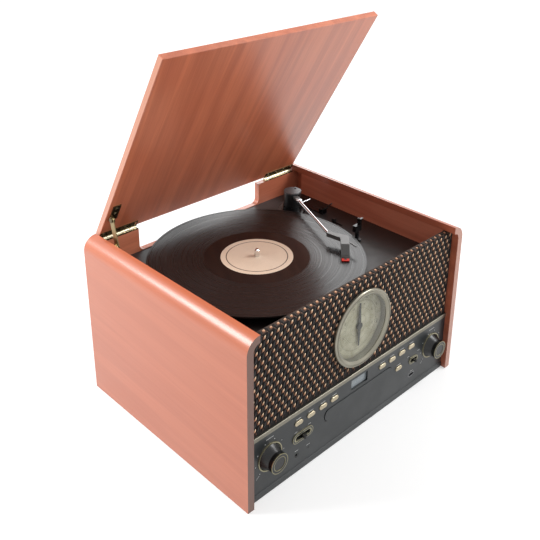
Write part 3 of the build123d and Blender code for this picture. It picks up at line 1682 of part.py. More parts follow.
with BuildPart() as stay_upper_link:
    stay_bar(upper_x, (pin_y, pin_z), (elbow_y, elbow_z), rivet_radius + running_gap)
    disc(across(upper_x), elbow_y, elbow_z, rivet_head, 2 * screw_head)
stay_upper_link.part.label = "stay_upper_link"
export_step(stay_upper_link.part, "parts/stay_upper_link.step")

with BuildPart() as stay_lower_link:
    stay_bar(lower_x, (stay_wall_y, stay_wall_z), (elbow_y, elbow_z), rivet_radius + running_gap)
    disc(across(lower_x - stay_thick), elbow_y, elbow_z, rivet_head, -2 * screw_head)
stay_lower_link.part.label = "stay_lower_link"
export_step(stay_lower_link.part, "parts/stay_lower_link.step")

with BuildPart() as stay_wall_bracket:
    slab(
        across(-liner_face),
        stay_wall_y - wall_plate / 2,
        stay_wall_y + wall_plate / 2,
        stay_wall_z - wall_plate / 2,
        stay_wall_z + wall_plate / 2,
        stay_thick,
    )
    reach = lower_x - stay_thick - hole_gap + liner_face
    disc(across(-liner_face), stay_wall_y, stay_wall_z, rivet_head, reach)
    disc(across(-liner_face), stay_wall_y, stay_wall_z, rivet_radius, reach + stay_thick + 2 * hole_gap)
    disc(across(lower_x + hole_gap), stay_wall_y, stay_wall_z, rivet_head, screw_head)
stay_wall_bracket.part.label = "stay_wall_bracket"
export_step(stay_wall_bracket.part, "parts/stay_wall_bracket.step")
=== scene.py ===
import bmesh
import bpy
import math
import random
from mathutils import Matrix, Vector


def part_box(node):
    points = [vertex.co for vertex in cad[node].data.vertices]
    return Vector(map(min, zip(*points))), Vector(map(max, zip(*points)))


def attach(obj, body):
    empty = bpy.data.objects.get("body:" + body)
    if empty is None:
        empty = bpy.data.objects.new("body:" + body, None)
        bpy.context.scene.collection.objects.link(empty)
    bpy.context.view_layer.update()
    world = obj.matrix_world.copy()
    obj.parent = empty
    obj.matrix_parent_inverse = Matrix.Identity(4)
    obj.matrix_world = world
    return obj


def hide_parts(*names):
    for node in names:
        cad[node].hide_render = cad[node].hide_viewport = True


# Music centre in a wooden case: record deck under a lid, dial, woven grille and controls.
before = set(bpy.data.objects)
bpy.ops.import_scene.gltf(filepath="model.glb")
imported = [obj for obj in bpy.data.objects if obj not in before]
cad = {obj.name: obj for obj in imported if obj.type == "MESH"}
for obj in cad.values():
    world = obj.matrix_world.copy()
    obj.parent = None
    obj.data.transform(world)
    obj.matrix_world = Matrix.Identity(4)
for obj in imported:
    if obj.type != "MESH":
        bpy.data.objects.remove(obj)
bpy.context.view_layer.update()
mm = 0.001
random.seed(7)
print("frame loaded:", len(cad), "nodes")

# Places are given as on the drawing: x across, y back from the case front, z up, in mm.
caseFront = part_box("side_panel_left")[0].y


def at(x, y, z):
    return Vector((x * mm, caseFront + y * mm, z * mm))


def lowY(node):
    return (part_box(node)[0].y - caseFront) / mm


def midXZ(node):
    low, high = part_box(node)
    return (low.x + high.x) / 2 / mm, (low.z + high.z) / 2 / mm


# Small helpers for shader trees
def newMaterial(name, **settings):
    mat = bpy.data.materials.new(name)
    mat.use_nodes = True
    shader = mat.node_tree.nodes["Principled BSDF"]
    for key, value in settings.items():
        shader.inputs[key.replace("_", " ")].default_value = value
    return mat, mat.node_tree, shader


def addNode(tree, kind, props=None, **values):
    made = tree.nodes.new("ShaderNode" + kind)
    for key, value in (props or {}).items():
        setattr(made, key, value)
    for key, value in values.items():
        made.inputs[key.replace("_", " ")].default_value = value
    return made


def rgba(colour):
    # Colours are written as seen on screen, 0 to 255, and turned into linear light here.
    def linear(c):
        c = c / 255
        return c / 12.92 if c <= 0.04045 else ((c + 0.055) / 1.055) ** 2.4

    return tuple(linear(c) for c in colour) + (1.0,)


def ramp(tree, source, stops, smooth=False):
    made = addNode(tree, "ValToRGB")
    points = made.color_ramp.elements
    while len(points) < len(stops):
        points.new(0.5)
    for point, (place, colour) in zip(points, stops):
        point.position = place
        point.color = colour if len(colour) == 4 else rgba(colour)
    if smooth:
        made.color_ramp.interpolation = "EASE"
    tree.links.new(source, made.inputs["Fac"])
    return made.outputs["Color"]


def grey(value):
    return (value, value, value, 1.0)


def shaded(tree, source, tint, share, low=0.3, high=0.7):
    # A tint that is darker, by the share, where the source is low.
    return ramp(tree, source, [(low, tuple(c * share for c in tint)), (high, tint)])


def greys(tree, source, first, last, low=0.3, high=0.7, smooth=False):
    return ramp(tree, source, [(low, grey(first)), (high, grey(last))], smooth)


def math2(tree, kind, a, b=0.0, clamp=False):
    made = addNode(tree, "Math", {"operation": kind, "use_clamp": clamp})
    for socket, value in zip(made.inputs, (a, b)):
        if isinstance(value, (int, float)):
            socket.default_value = value
        else:
            tree.links.new(value, socket)
    return made.outputs[0]


def mixColour(tree, fac, a, b, kind="MIX"):
    made = addNode(tree, "MixRGB", {"blend_type": kind})
    for socket, value in zip(made.inputs, (fac, a, b)):
        if isinstance(value, (int, float)):
            socket.default_value = value
        elif isinstance(value, tuple):
            socket.default_value = value if len(value) == 4 else rgba(value)
        else:
            tree.links.new(value, socket)
    return made.outputs[0]


def drawingCoords(tree, origin=(0, 0, 0)):
    # Object coordinates moved so that a place on the drawing is the origin, in mm.
    coords = addNode(tree, "TexCoord")
    moved = addNode(tree, "VectorMath", {"operation": "SUBTRACT"})
    tree.links.new(coords.outputs["Object"], moved.inputs[0])
    moved.inputs[1].default_value = at(*origin)
    scaled = addNode(tree, "VectorMath", {"operation": "SCALE"}, Scale=1000.0)
    tree.links.new(moved.outputs[0], scaled.inputs[0])
    return scaled.outputs[0]


def split(tree, vector):
    made = addNode(tree, "SeparateXYZ")
    tree.links.new(vector, made.inputs[0])
    return made.outputs


def stretched(tree, vector, scale, turn=(0, 0, 0)):
    made = addNode(tree, "Mapping")
    made.inputs["Scale"].default_value = scale
    made.inputs["Rotation"].default_value = [math.radians(a) for a in turn]
    tree.links.new(vector, made.inputs["Vector"])
    return made.outputs[0]


def noise(tree, vector, scale, detail=4.0, rough=0.5, distort=0.0):
    made = addNode(tree, "TexNoise", Scale=scale, Detail=detail, Roughness=rough, Distortion=distort)
    tree.links.new(vector, made.inputs["Vector"])
    return made.outputs["Fac"]


def bump(tree, shader, height, strength, distance):
    made = addNode(tree, "Bump", Strength=strength, Distance=distance)
    tree.links.new(height, made.inputs["Height"])
    tree.links.new(made.outputs[0], shader.inputs["Normal"])


def radiusFrom(tree, centre, axis):
    # Distance in mm from a line through centre, along x, y or z.
    x, y, z = split(tree, drawingCoords(tree, centre))
    a, b = {"x": (y, z), "y": (x, z), "z": (x, y)}[axis]
    square = math2(tree, "ADD", math2(tree, "MULTIPLY", a, a), math2(tree, "MULTIPLY", b, b))
    return math2(tree, "SQRT", square)


def between(tree, value, low, high):
    above = math2(tree, "GREATER_THAN", value, float(low))
    below = math2(tree, "LESS_THAN", value, float(high))
    return math2(tree, "MULTIPLY", above, below)


def anyOf(tree, values):
    # One where any of the values is one.
    total = values[0]
    for value in values[1:]:
        total = math2(tree, "MAXIMUM", total, value)
    return total


def paint(mat, *nodes):
    for node in nodes:
        mesh = cad[node].data
        mesh.materials.clear()
        mesh.materials.append(mat)


# Wood: a thin lacquered veneer with fine fibres, short pores and a faint broad figure.
lidTurn = math.radians(59.25)
lidAlong = (0, -math.cos(lidTurn), math.sin(lidTurn))
wood = {
    # The two side panels are one veneer in two copies: the right one's face is painted darker, painted shade
    # from the open lid, and its banded edge lighter, painted light from the front-right lamp; the left one's
    # edge is painted darker as painted shade.
    # light and dark of the face, the banded edge, fibre direction, edge direction, strength of the figure
    "left": ((198, 114, 82), (190, 107, 76), (112, 72, 56), (0, 1, 0.06), (0, 1, 0), 0.18),
    "right": ((186, 104, 76), (172, 94, 68), (184, 128, 108), (0, 1, 0.06), (0, 1, 0), 0.25),
    "inside": ((220, 138, 110), (198, 116, 90), (176, 106, 82), (0, 1, 0.03), (0, 1, 0), 0.5),
    "rear": ((212, 134, 102), (190, 112, 84), (168, 98, 72), (1, 0, 0.02), (0, 0, 1), 0.5),
    "lid": ((216, 126, 90), (196, 110, 78), (206, 140, 112), lidAlong, (1, 0, 0), 0.55),
    "roughness": 0.36,
    "coat": 0.5,
    "coatRoughness": 0.24,
    "poreDepth": 0.00003,
}


def alongDirection(tree, vector, direction):
    made = addNode(tree, "VectorMath", {"operation": "DOT_PRODUCT"})
    tree.links.new(vector, made.inputs[0])
    made.inputs[1].default_value = direction
    return made.outputs["Value"]


def fibreSpace(tree, coords, grain):
    # Coordinates with the fibres along the first axis.
    first = Vector(grain).normalized()
    second = Vector((0, 0, 1)).cross(first).normalized()
    made = addNode(tree, "CombineXYZ")
    for socket, direction in zip(made.inputs, (first, second, first.cross(second))):
        tree.links.new(alongDirection(tree, coords, direction), socket)
    return made.outputs[0]


def veneer(name):
    light, dark, edge, grain, edgeDirection, strength = wood[name]
    coat = {"Coat_Weight": wood["coat"], "Coat_Roughness": wood["coatRoughness"]}
    mat, tree, shader = newMaterial(name + "Veneer", **coat)
    coords = drawingCoords(tree)
    along = fibreSpace(tree, coords, grain)
    fibre = noise(tree, stretched(tree, along, (0.010, 0.55, 0.55)), 1.0, detail=6, rough=0.6, distort=0.3)
    broad = stretched(tree, along, (0.0025, 0.045, 0.045))
    figure = noise(tree, broad, 1.0, detail=3, rough=0.55, distort=0.5)
    pores = noise(tree, stretched(tree, along, (0.07, 2.4, 2.4)), 1.0, detail=2, rough=0.5)
    cloud = noise(tree, coords, 0.008, detail=3, rough=0.55)
    tint = ramp(tree, figure, [(0.35, dark), (0.65, light)], smooth=True)
    streak = greys(tree, fibre, 0.82, 1.0, smooth=True)
    tint = mixColour(tree, strength, tint, streak, "MULTIPLY")
    patch = ramp(tree, cloud, [(0.3, (255, 238, 230)), (0.7, grey(1.0))], smooth=True)
    tint = mixColour(tree, strength, tint, patch, "MULTIPLY")
    pore = greys(tree, pores, 0.76, 1.0, 0.30, 0.40)
    tint = mixColour(tree, strength * 0.4, tint, pore, "MULTIPLY")
    # The banding glued on the board's edges has its own tone; on the side panels it also carries painted
    # light and shade, darker on the left panel's edges and lighter on the right one's.
    normal = addNode(tree, "TexCoord").outputs["Normal"]
    facing = math2(tree, "ABSOLUTE", alongDirection(tree, normal, edgeDirection))
    banded = math2(tree, "GREATER_THAN", facing, 0.85)
    edgeTint = mixColour(tree, 0.5, edge, streak, "MULTIPLY")
    tint = mixColour(tree, banded, tint, edgeTint)
    tree.links.new(tint, shader.inputs["Base Color"])
    gloss = greys(tree, fibre, wood["roughness"] + 0.05, wood["roughness"] - 0.03)
    tree.links.new(gloss, shader.inputs["Roughness"])
    bump(tree, shader, pore, 0.5, wood["poreDepth"])
    return mat


paint(veneer("left"), "side_panel_left")
paint(veneer("right"), "side_panel_right")
paint(veneer("inside"), "well_liners")
paint(veneer("rear"), "rear_board")
paint(veneer("lid"), "lid")
print("wood done")


# Fibreboard inside and under the case
def fibreboard(name, light, dark):
    mat, tree, shader = newMaterial(name, Roughness=0.85)
    coords = drawingCoords(tree)
    fleck = noise(tree, coords, 0.9, detail=6, rough=0.7)
    chip = noise(tree, stretched(tree, coords, (0.5, 2.2, 1.2)), 1.0, detail=3)
    tint = ramp(tree, fleck, [(0.35, dark), (0.65, light)])
    tint = mixColour(tree, 0.35, tint, greys(tree, chip, 0.7, 1.0, 0.4, 0.6), "MULTIPLY")
    tree.links.new(tint, shader.inputs["Base Color"])
    bump(tree, shader, fleck, 0.35, 0.0002)
    return mat


paint(fibreboard("baseBoard", (128, 100, 78), (92, 68, 52)), "base_board")
paint(fibreboard("baffleBoard", (74, 56, 44), (44, 33, 27)), "front_baffle")


# Mouldings, rubber and enamel: a base tint with dust-fine mottle and a little unevenness of gloss
def moulding(name, tint, roughness, grain=0.00003, scale=3.0, metallic=0.0, coat=0.0, spread=0.12):
    mat, tree, shader = newMaterial(name, Metallic=metallic, Coat_Weight=coat, Coat_Roughness=0.15)
    coords = drawingCoords(tree)
    mottle = noise(tree, coords, scale, detail=5, rough=0.65)
    broad = noise(tree, coords, 0.03, detail=2)
    low = tuple(c * (1 - spread) for c in tint)
    high = tuple(min(255, c * (1 + spread)) for c in tint)
    colour = ramp(tree, mottle, [(0.35, low), (0.65, high)])
    shade = greys(tree, broad, 0.92, 1.0, smooth=True)
    colour = mixColour(tree, 1.0, colour, shade, "MULTIPLY")
    tree.links.new(colour, shader.inputs["Base Color"])
    gloss = greys(tree, broad, roughness * 1.12, roughness * 0.92, smooth=True)
    tree.links.new(gloss, shader.inputs["Roughness"])
    bump(tree, shader, mottle, 0.4, grain)
    return mat


def brushed(name, tint, roughness, along="x", metallic=1.0, spread=0.10, scratch=0.00002):
    # Metal with fine lines along one axis, as drawn or turned stock has.
    mat, tree, shader = newMaterial(name, Metallic=metallic)
    coords = drawingCoords(tree)
    scale = {"x": (0.05, 6, 6), "y": (6, 0.05, 6), "z": (6, 6, 0.05)}[along]
    lines = noise(tree, stretched(tree, coords, scale), 1.0, detail=5, rough=0.7)
    stain = noise(tree, coords, 0.08, detail=3)
    low = tuple(c * (1 - spread) for c in tint)
    high = tuple(min(255, c * (1 + spread)) for c in tint)
    colour = ramp(tree, lines, [(0.3, low), (0.7, high)])
    colour = mixColour(tree, 0.5, colour, greys(tree, stain, 0.85, 1.0, 0.35, 0.65), "MULTIPLY")
    tree.links.new(colour, shader.inputs["Base Color"])
    gloss = greys(tree, lines, roughness * 1.25, roughness * 0.8)
    tree.links.new(gloss, shader.inputs["Roughness"])
    bump(tree, shader, lines, 0.35, scratch)
    return mat


plain = {
    "feet": ((32, 31, 31), 0.75),
    "deck": ((30, 25, 24), 0.40),
    "blackSatin": ((22, 21, 21), 0.30),
    "armBlack": ((22, 22, 23), 0.22),
    "belt": ((20, 20, 20), 0.6),
    "mat": ((26, 25, 25), 0.7),
    "socket": ((28, 28, 29), 0.4),
    "cone": ((30, 29, 28), 0.8),
    "circuit": ((34, 78, 48), 0.45),
}
finish = {key: moulding(key, tint, rough) for key, (tint, rough) in plain.items()}
finish["sheetSteel"] = moulding("sheetSteel", (150, 152, 154), 0.38, metallic=0.8)
paint(finish["feet"], "feet")
paint(finish["deck"], "deck_plate")
paint(finish["blackSatin"], "source_switch", "band_switch", "speed_lever", "stop_lever")
paint(finish["armBlack"], "arm_base", "arm_rest", "arm_clip")
paint(finish["belt"], "drive_belt")
paint(finish["mat"], "platter_mat")
paint(finish["sheetSteel"], "disc_mechanism", "platter_motor")
paint(finish["circuit"], "main_board")
paint(finish["cone"], "speakers")

metals = {
    "champagne": ((134, 130, 118), 0.38, "x"),
    "pewter": ((150, 146, 132), 0.32, "z"),
    "castAlloy": ((178, 178, 180), 0.35, "x"),
    "turnedBrass": ((205, 176, 112), 0.25, "z"),
    "polished": ((232, 232, 234), 0.09, "z"),
    "darkBronze": ((96, 84, 58), 0.30, "x"),
    "stayMetal": ((150, 134, 98), 0.30, "z"),
    "screwMetal": ((226, 218, 190), 0.18, "x"),
}
metal = {key: brushed(key, tint, rough, along) for key, (tint, rough, along) in metals.items()}
paint(metal["champagne"], "trim_strip")
paint(metal["castAlloy"], "platter")
paint(metal["turnedBrass"], "motor_pulley")
paint(metal["polished"], "spindle")
paint(metal["darkBronze"], "stay_lid_bracket")
paint(metal["stayMetal"], "stay_upper_link", "stay_lower_link", "stay_wall_bracket")
paint(metal["screwMetal"], "case_screws", "lid_screws")


# Hinges and lifting lever: a round part in one tint, the rest in another; the hinges' near-white knuckles
# are partly lighter metal and partly a painted highlight, and the lever's near-black hub is painted shade
def metalWithPaintedLightAndShade(name, centre, axis, radius, inner, outer, roughness):
    mat, tree, shader = newMaterial(name, Metallic=0.9)
    coords = drawingCoords(tree)
    near = math2(tree, "LESS_THAN", radiusFrom(tree, centre, axis), radius)
    worn = noise(tree, stretched(tree, coords, (0.3, 3, 3)), 1.0, detail=5, rough=0.7)
    bright = shaded(tree, worn, inner, 0.8)
    dark = shaded(tree, worn, outer, 0.7)
    tree.links.new(mixColour(tree, near, dark, bright), shader.inputs["Base Color"])
    gloss = greys(tree, worn, roughness * 1.3, roughness * 0.8)
    tree.links.new(gloss, shader.inputs["Roughness"])
    bump(tree, shader, worn, 0.3, 0.00003)
    return mat


hingeLine = (0, 325.9, 231.8)
# Near-white knuckles over dark leaves: partly a painted highlight on the round knuckles.
hingeKnucklePaintedHighlight = metalWithPaintedLightAndShade("hingeKnucklePaintedHighlight", hingeLine, "x", 3.4, (226, 216, 190), (92, 78, 50), 0.25)
paint(hingeKnucklePaintedHighlight, "case_hinges", "lid_hinges")
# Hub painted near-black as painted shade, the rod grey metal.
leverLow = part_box("cue_lever")[0]
leverHub = (0, (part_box("cue_lever")[1].y - caseFront) / mm - 3, leverLow.z / mm + 3)
paint(metalWithPaintedLightAndShade("leverHubPaintedShade", leverHub, "x", 3.3, (30, 30, 31), (120, 118, 116), 0.3), "cue_lever")
print("plain finishes done")


# Control panel: grey enamel, the printed marks are thin pieces further on
enamel = {"tint": (28, 32, 34), "roughness": 0.42, "fleck": 0.12}
panelEnamel = moulding(
    "panelEnamel", enamel["tint"], enamel["roughness"], spread=enamel["fleck"], scale=4.0, coat=0.15
)
paint(panelEnamel, "control_panel", "disc_drawer")

# Push buttons: satin champagne plate, softly brushed along their length
buttonPlate = brushed("buttonPlate", (186, 174, 148), 0.30, "x", metallic=0.8, spread=0.08)
buttons = sorted(n for n in cad if n.startswith("button_"))
paint(buttonPlate, *buttons)

# Control board: what shows through the panel is a grey window, black sockets and a plated one
display = {
    "glass": (158, 166, 170),
    "dark": (132, 140, 145),
    "board": (32, 66, 42),
    "boardShade": (24, 52, 33),
    "plated": (196, 196, 198),
    "platedShade": (160, 160, 163),
    "socket": (16, 16, 17),
    # parts ahead of this y show through the panel, in two bands of z; sockets right of this x are plated
    "frontOf": 14.0,
    "windowBand": (68, 88),
    "socketBand": (18, 30),
    "platedFrom": 100.0,
}


def controlBoard():
    mat, tree, shader = newMaterial("controlBoardParts", Roughness=0.3)
    coords = drawingCoords(tree)
    x, y, z = split(tree, coords)
    board = noise(tree, coords, 2.0, detail=4)
    tint = ramp(tree, board, [(0.4, display["board"]), (0.6, display["boardShade"])])
    cells = noise(tree, stretched(tree, coords, (2.4, 1, 0.5)), 1.0, detail=1)
    glass = ramp(tree, cells, [(0.35, display["dark"]), (0.7, display["glass"])])
    front = math2(tree, "LESS_THAN", y, display["frontOf"])
    window = math2(tree, "MULTIPLY", front, between(tree, z, *display["windowBand"]))
    socket = math2(tree, "MULTIPLY", front, between(tree, z, *display["socketBand"]))
    plated = math2(tree, "MULTIPLY", socket, math2(tree, "GREATER_THAN", x, display["platedFrom"]))
    tint = mixColour(tree, window, tint, glass)
    tint = mixColour(tree, socket, tint, display["socket"])
    worn = ramp(tree, board, [(0.35, display["platedShade"]), (0.6, display["plated"])])
    tint = mixColour(tree, plated, tint, worn)
    tree.links.new(tint, shader.inputs["Base Color"])
    tree.links.new(plated, shader.inputs["Metallic"])
    gloss = greys(tree, board, 0.34, 0.22)
    tree.links.new(gloss, shader.inputs["Roughness"])
    bump(tree, shader, board, 0.2, 0.00003)
    return mat


paint(controlBoard(), "control_board")

# Knobs: black, with the champagne rim and the fine ring round the face
knob = {"rim": (160, 154, 124), "black": (6, 6, 7), "face": (28, 28, 28), "outer": 13.5, "rimWidth": 0.6}
knob["inner"] = knob["outer"] - 4.2


def knobFinish(node):
    x, z = midXZ(node)
    mat, tree, shader = newMaterial(node + "Finish")
    r = radiusFrom(tree, (x, 0, z), "y")
    coords = drawingCoords(tree, (x, 0, z))
    y = split(tree, coords)[1]
    dust = noise(tree, coords, 2.5, detail=5)
    ringsAcross = {"wave_type": "RINGS", "rings_direction": "Y"}
    turned = addNode(tree, "TexWave", ringsAcross, Scale=1.2, Distortion=0.6)
    turned.inputs["Detail"].default_value = 2
    tree.links.new(coords, turned.inputs["Vector"])
    face = math2(tree, "LESS_THAN", y, lowY(node) + 1.1)
    outerRing = between(tree, r, knob["outer"] - knob["rimWidth"] - 0.3, knob["outer"] + 1)
    innerRing = between(tree, r, knob["inner"] - 0.4, knob["inner"] + 0.4)
    ring = math2(tree, "MULTIPLY", face, math2(tree, "MAXIMUM", outerRing, innerRing))
    disc = math2(tree, "MULTIPLY", face, math2(tree, "LESS_THAN", r, knob["inner"] - 0.5))
    black = shaded(tree, dust, knob["black"], 0.85, 0.35, 0.65)
    spun = shaded(tree, turned.outputs["Fac"], knob["face"], 0.8, 0.2, 0.8)
    tint = mixColour(tree, disc, black, spun)
    rimTint = shaded(tree, dust, knob["rim"], 0.85)
    tint = mixColour(tree, ring, tint, rimTint)
    tree.links.new(tint, shader.inputs["Base Color"])
    tree.links.new(ring, shader.inputs["Metallic"])
    gloss = greys(tree, dust, 0.33, 0.26)
    tree.links.new(gloss, shader.inputs["Roughness"])
    bump(tree, shader, dust, 0.3, 0.00003)
    return mat


for node in ("volume_knob", "tuning_knob"):
    paint(knobFinish(node), node)

# Dial: pewter bezel, domed glass, cream plate with a printed scale and painted shade towards its edge, and a
# dark pointer
dialX, dialZ = midXZ("dial_bezel")
dial = {
    "paper": (196, 190, 168),
    "shade": (164, 156, 130),
    "ink": (58, 52, 44),
    "rings": (42.5, 36.0, 35.0, 24.5, 15.0),
    "ringWidth": 0.35,
    "radius": 46.3,
}


def dialPlate():
    mat, tree, shader = newMaterial("dialPlatePrint", Roughness=0.5)
    r = radiusFrom(tree, (dialX, 0, dialZ), "y")
    coords = drawingCoords(tree, (dialX, 0, dialZ))
    aged = noise(tree, coords, 0.06, detail=5, rough=0.6)
    grain = noise(tree, coords, 1.5, detail=4)
    tint = ramp(tree, aged, [(0.35, dial["shade"]), (0.7, dial["paper"])], smooth=True)
    tint = mixColour(tree, 0.3, tint, greys(tree, grain, 0.85, 1), "MULTIPLY")
    half = dial["ringWidth"] / 2
    printed = anyOf(tree, [between(tree, r, ring - half, ring + half) for ring in dial["rings"]])
    tint = mixColour(tree, math2(tree, "MULTIPLY", printed, 0.6), tint, dial["ink"])
    # Painted shade: the plate darkens towards its outer edge, under the bezel.
    share = math2(tree, "DIVIDE", r, dial["radius"])
    rim = greys(tree, share, 1.0, 0.72, 0.90, 1.0, smooth=True)
    tint = mixColour(tree, 1.0, tint, rim, "MULTIPLY")
    tree.links.new(tint, shader.inputs["Base Color"])
    bump(tree, shader, grain, 0.2, 0.00002)
    return mat


def clearDome():
    mat, tree, shader = newMaterial("clearDome")
    tree.nodes.remove(shader)
    output = tree.nodes["Material Output"]
    gloss = addNode(tree, "BsdfGlossy", Roughness=0.05)
    clear = addNode(tree, "BsdfTransparent", Color=(0.97, 0.98, 0.97, 1))
    fresnel = addNode(tree, "Fresnel", IOR=1.5)
    dust = noise(tree, drawingCoords(tree), 1.2, detail=6, rough=0.7)
    haze = greys(tree, dust, 0.0, 0.02, 0.45, 0.75)
    amount = math2(tree, "ADD", fresnel.outputs[0], haze, clamp=True)
    # Only the outer side of each surface shines, so light isn't caught inside the dome.
    outer = math2(tree, "SUBTRACT", 1.0, addNode(tree, "NewGeometry").outputs["Backfacing"])
    amount = math2(tree, "MULTIPLY", amount, outer)
    mixed = addNode(tree, "MixShader")
    tree.links.new(amount, mixed.inputs[0])
    tree.links.new(clear.outputs[0], mixed.inputs[1])
    tree.links.new(gloss.outputs[0], mixed.inputs[2])
    tree.links.new(mixed.outputs[0], output.inputs["Surface"])
    return mat


bezelMetal = brushed("bezelMetal", metals["pewter"][0], metals["pewter"][1], "z", metallic=0.9, spread=0.07)
paint(bezelMetal, "dial_bezel")
paint(dialPlate(), "dial_plate")
paint(clearDome(), "dial_glass")
paint(moulding("pointerPaint", (52, 48, 42), 0.35, metallic=0.4), "dial_pointer")
print("panel and dial finishes done")


# Record: glossy black-brown disc with fine grooves, track gaps and a paper label
recordLow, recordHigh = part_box("record")
recordX = (recordLow.x + recordHigh.x) / 2 / mm
recordY = (recordLow.y + recordHigh.y) / 2 / mm - caseFront / mm
recordTop = recordHigh.z / mm
record = {
    "vinyl": (24, 23, 23),
    "label": (226, 203, 180),
    "ring": (58, 36, 28),
    "labelRadius": 50.0,
    "ringRadius": 42.2,
    "ringWidth": 1.3,
    "runOut": 73.0,
    "gaps": (146.5, 131.0, 117.5, 103.0, 88.5, 74.0, 60.5),
    "gapWidth": 0.55,
    "groovePitch": 0.55,
    "roughness": 0.25,
    "smooth": 0.08,
}


def vinyl():
    mat, tree, shader = newMaterial("vinylAndLabel", Anisotropic=0.7, Anisotropic_Rotation=0.25)
    r = radiusFrom(tree, (recordX, recordY, 0), "z")
    coords = drawingCoords(tree, (recordX, recordY, 0))
    onLabel = math2(tree, "LESS_THAN", r, record["labelRadius"])
    half = record["gapWidth"] / 2
    gap = anyOf(tree, [between(tree, r, place - half, place + half) for place in record["gaps"]])
    # Fine rings whose strength drifts from track to track.
    phase = math2(tree, "MULTIPLY", r, 2 * math.pi / record["groovePitch"])
    groove = math2(tree, "SINE", phase)
    radial = addNode(tree, "CombineXYZ")
    tree.links.new(r, radial.inputs[0])
    bands = noise(tree, radial.outputs[0], 0.35, detail=6, rough=0.8)
    paper = noise(tree, coords, 0.8, detail=6, rough=0.7)
    blotch = noise(tree, coords, 0.05, detail=2)
    vinylTint = shaded(tree, bands, record["vinyl"], 0.75)
    vinylTint = mixColour(tree, gap, vinylTint, tuple(c * 0.6 for c in record["vinyl"]))
    labelTint = shaded(tree, paper, record["label"], 0.94)
    labelTint = mixColour(tree, 0.5, labelTint, greys(tree, blotch, 0.92, 1.0), "MULTIPLY")
    half = record["ringWidth"] / 2
    ring = between(tree, r, record["ringRadius"] - half, record["ringRadius"] + half)
    labelTint = mixColour(tree, ring, labelTint, record["ring"])
    tint = mixColour(tree, onLabel, vinylTint, labelTint)
    tree.links.new(tint, shader.inputs["Base Color"])
    grooved = greys(tree, bands, record["roughness"] * 0.8, record["roughness"] * 1.5)
    # The gaps between tracks and the run-out round the label have no grooves and mirror more sharply.
    plainVinyl = math2(tree, "MAXIMUM", gap, math2(tree, "LESS_THAN", r, record["runOut"]))
    smooth = mixColour(tree, plainVinyl, grooved, grey(record["smooth"]))
    tree.links.new(mixColour(tree, onLabel, smooth, grey(0.6)), shader.inputs["Roughness"])
    tangent = addNode(tree, "Tangent", {"direction_type": "RADIAL", "axis": "Z"})
    tree.links.new(tangent.outputs[0], shader.inputs["Tangent"])
    height = math2(tree, "ADD", math2(tree, "MULTIPLY", groove, 0.4), bands)
    height = mixColour(tree, plainVinyl, height, grey(0.4))
    height = mixColour(tree, onLabel, height, paper)
    bump(tree, shader, height, 0.2, 0.00002)
    return mat


paint(vinyl(), "record")

# Arm: bright tube, dark grey cap, link and headshell, red and black cartridge
arm = {
    "tubeStart": 27.0,
    "tubeEnd": 143.0,
    "tube": (226, 226, 228),
    "shell": (92, 91, 90),
    "cap": (74, 74, 76),
    "turret": (26, 26, 27),
    "capFrom": 226.4,
    "shellRear": (77.0, 110.0, 0),
    "shellHeading": -136,
    "redFrom": 40.6,
    "notchHalf": 1.7,
    "notchDepth": 2.2,
    "red": (222, 44, 30),
    "black": (26, 26, 27),
}
turretLow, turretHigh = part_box("arm_turret")
pivotX = (turretLow.x + turretHigh.x) / 2 / mm
pivotY = (turretLow.y + turretHigh.y) / 2 / mm - caseFront / mm


def toneArm():
    mat, tree, shader = newMaterial("toneArmMetal")
    r = radiusFrom(tree, (pivotX, pivotY, 0), "z")
    coords = drawingCoords(tree)
    fine = noise(tree, coords, 2.0, detail=5, rough=0.7)
    onTube = between(tree, r, arm["tubeStart"], arm["tubeEnd"])
    shell = shaded(tree, fine, arm["shell"], 0.88)
    bright = shaded(tree, fine, arm["tube"], 0.94)
    tree.links.new(mixColour(tree, onTube, shell, bright), shader.inputs["Base Color"])
    tree.links.new(math2(tree, "MULTIPLY", onTube, 0.9), shader.inputs["Metallic"])
    gloss = greys(tree, fine, 0.36, 0.28)
    tree.links.new(mixColour(tree, onTube, gloss, grey(0.08)), shader.inputs["Roughness"])
    bump(tree, shader, fine, 0.2, 0.00002)
    return mat


def armTurret():
    mat, tree, shader = newMaterial("armTurretFinish")
    coords = drawingCoords(tree, (pivotX, pivotY, arm["capFrom"]))
    fine = noise(tree, coords, 2.2, detail=5, rough=0.7)
    onCap = math2(tree, "GREATER_THAN", split(tree, coords)[2], 0.0)
    body = shaded(tree, fine, arm["turret"], 0.85)
    cap = shaded(tree, fine, arm["cap"], 0.92)
    tree.links.new(mixColour(tree, onCap, body, cap), shader.inputs["Base Color"])
    gloss = greys(tree, fine, 0.4, 0.3)
    tree.links.new(gloss, shader.inputs["Roughness"])
    bump(tree, shader, fine, 0.25, 0.00003)
    return mat


def noseDirection():
    # Unit vector along the headshell, from the arm towards the stylus.
    turn = math.radians(arm["shellHeading"])
    return Vector((math.cos(turn), math.sin(turn), 0))


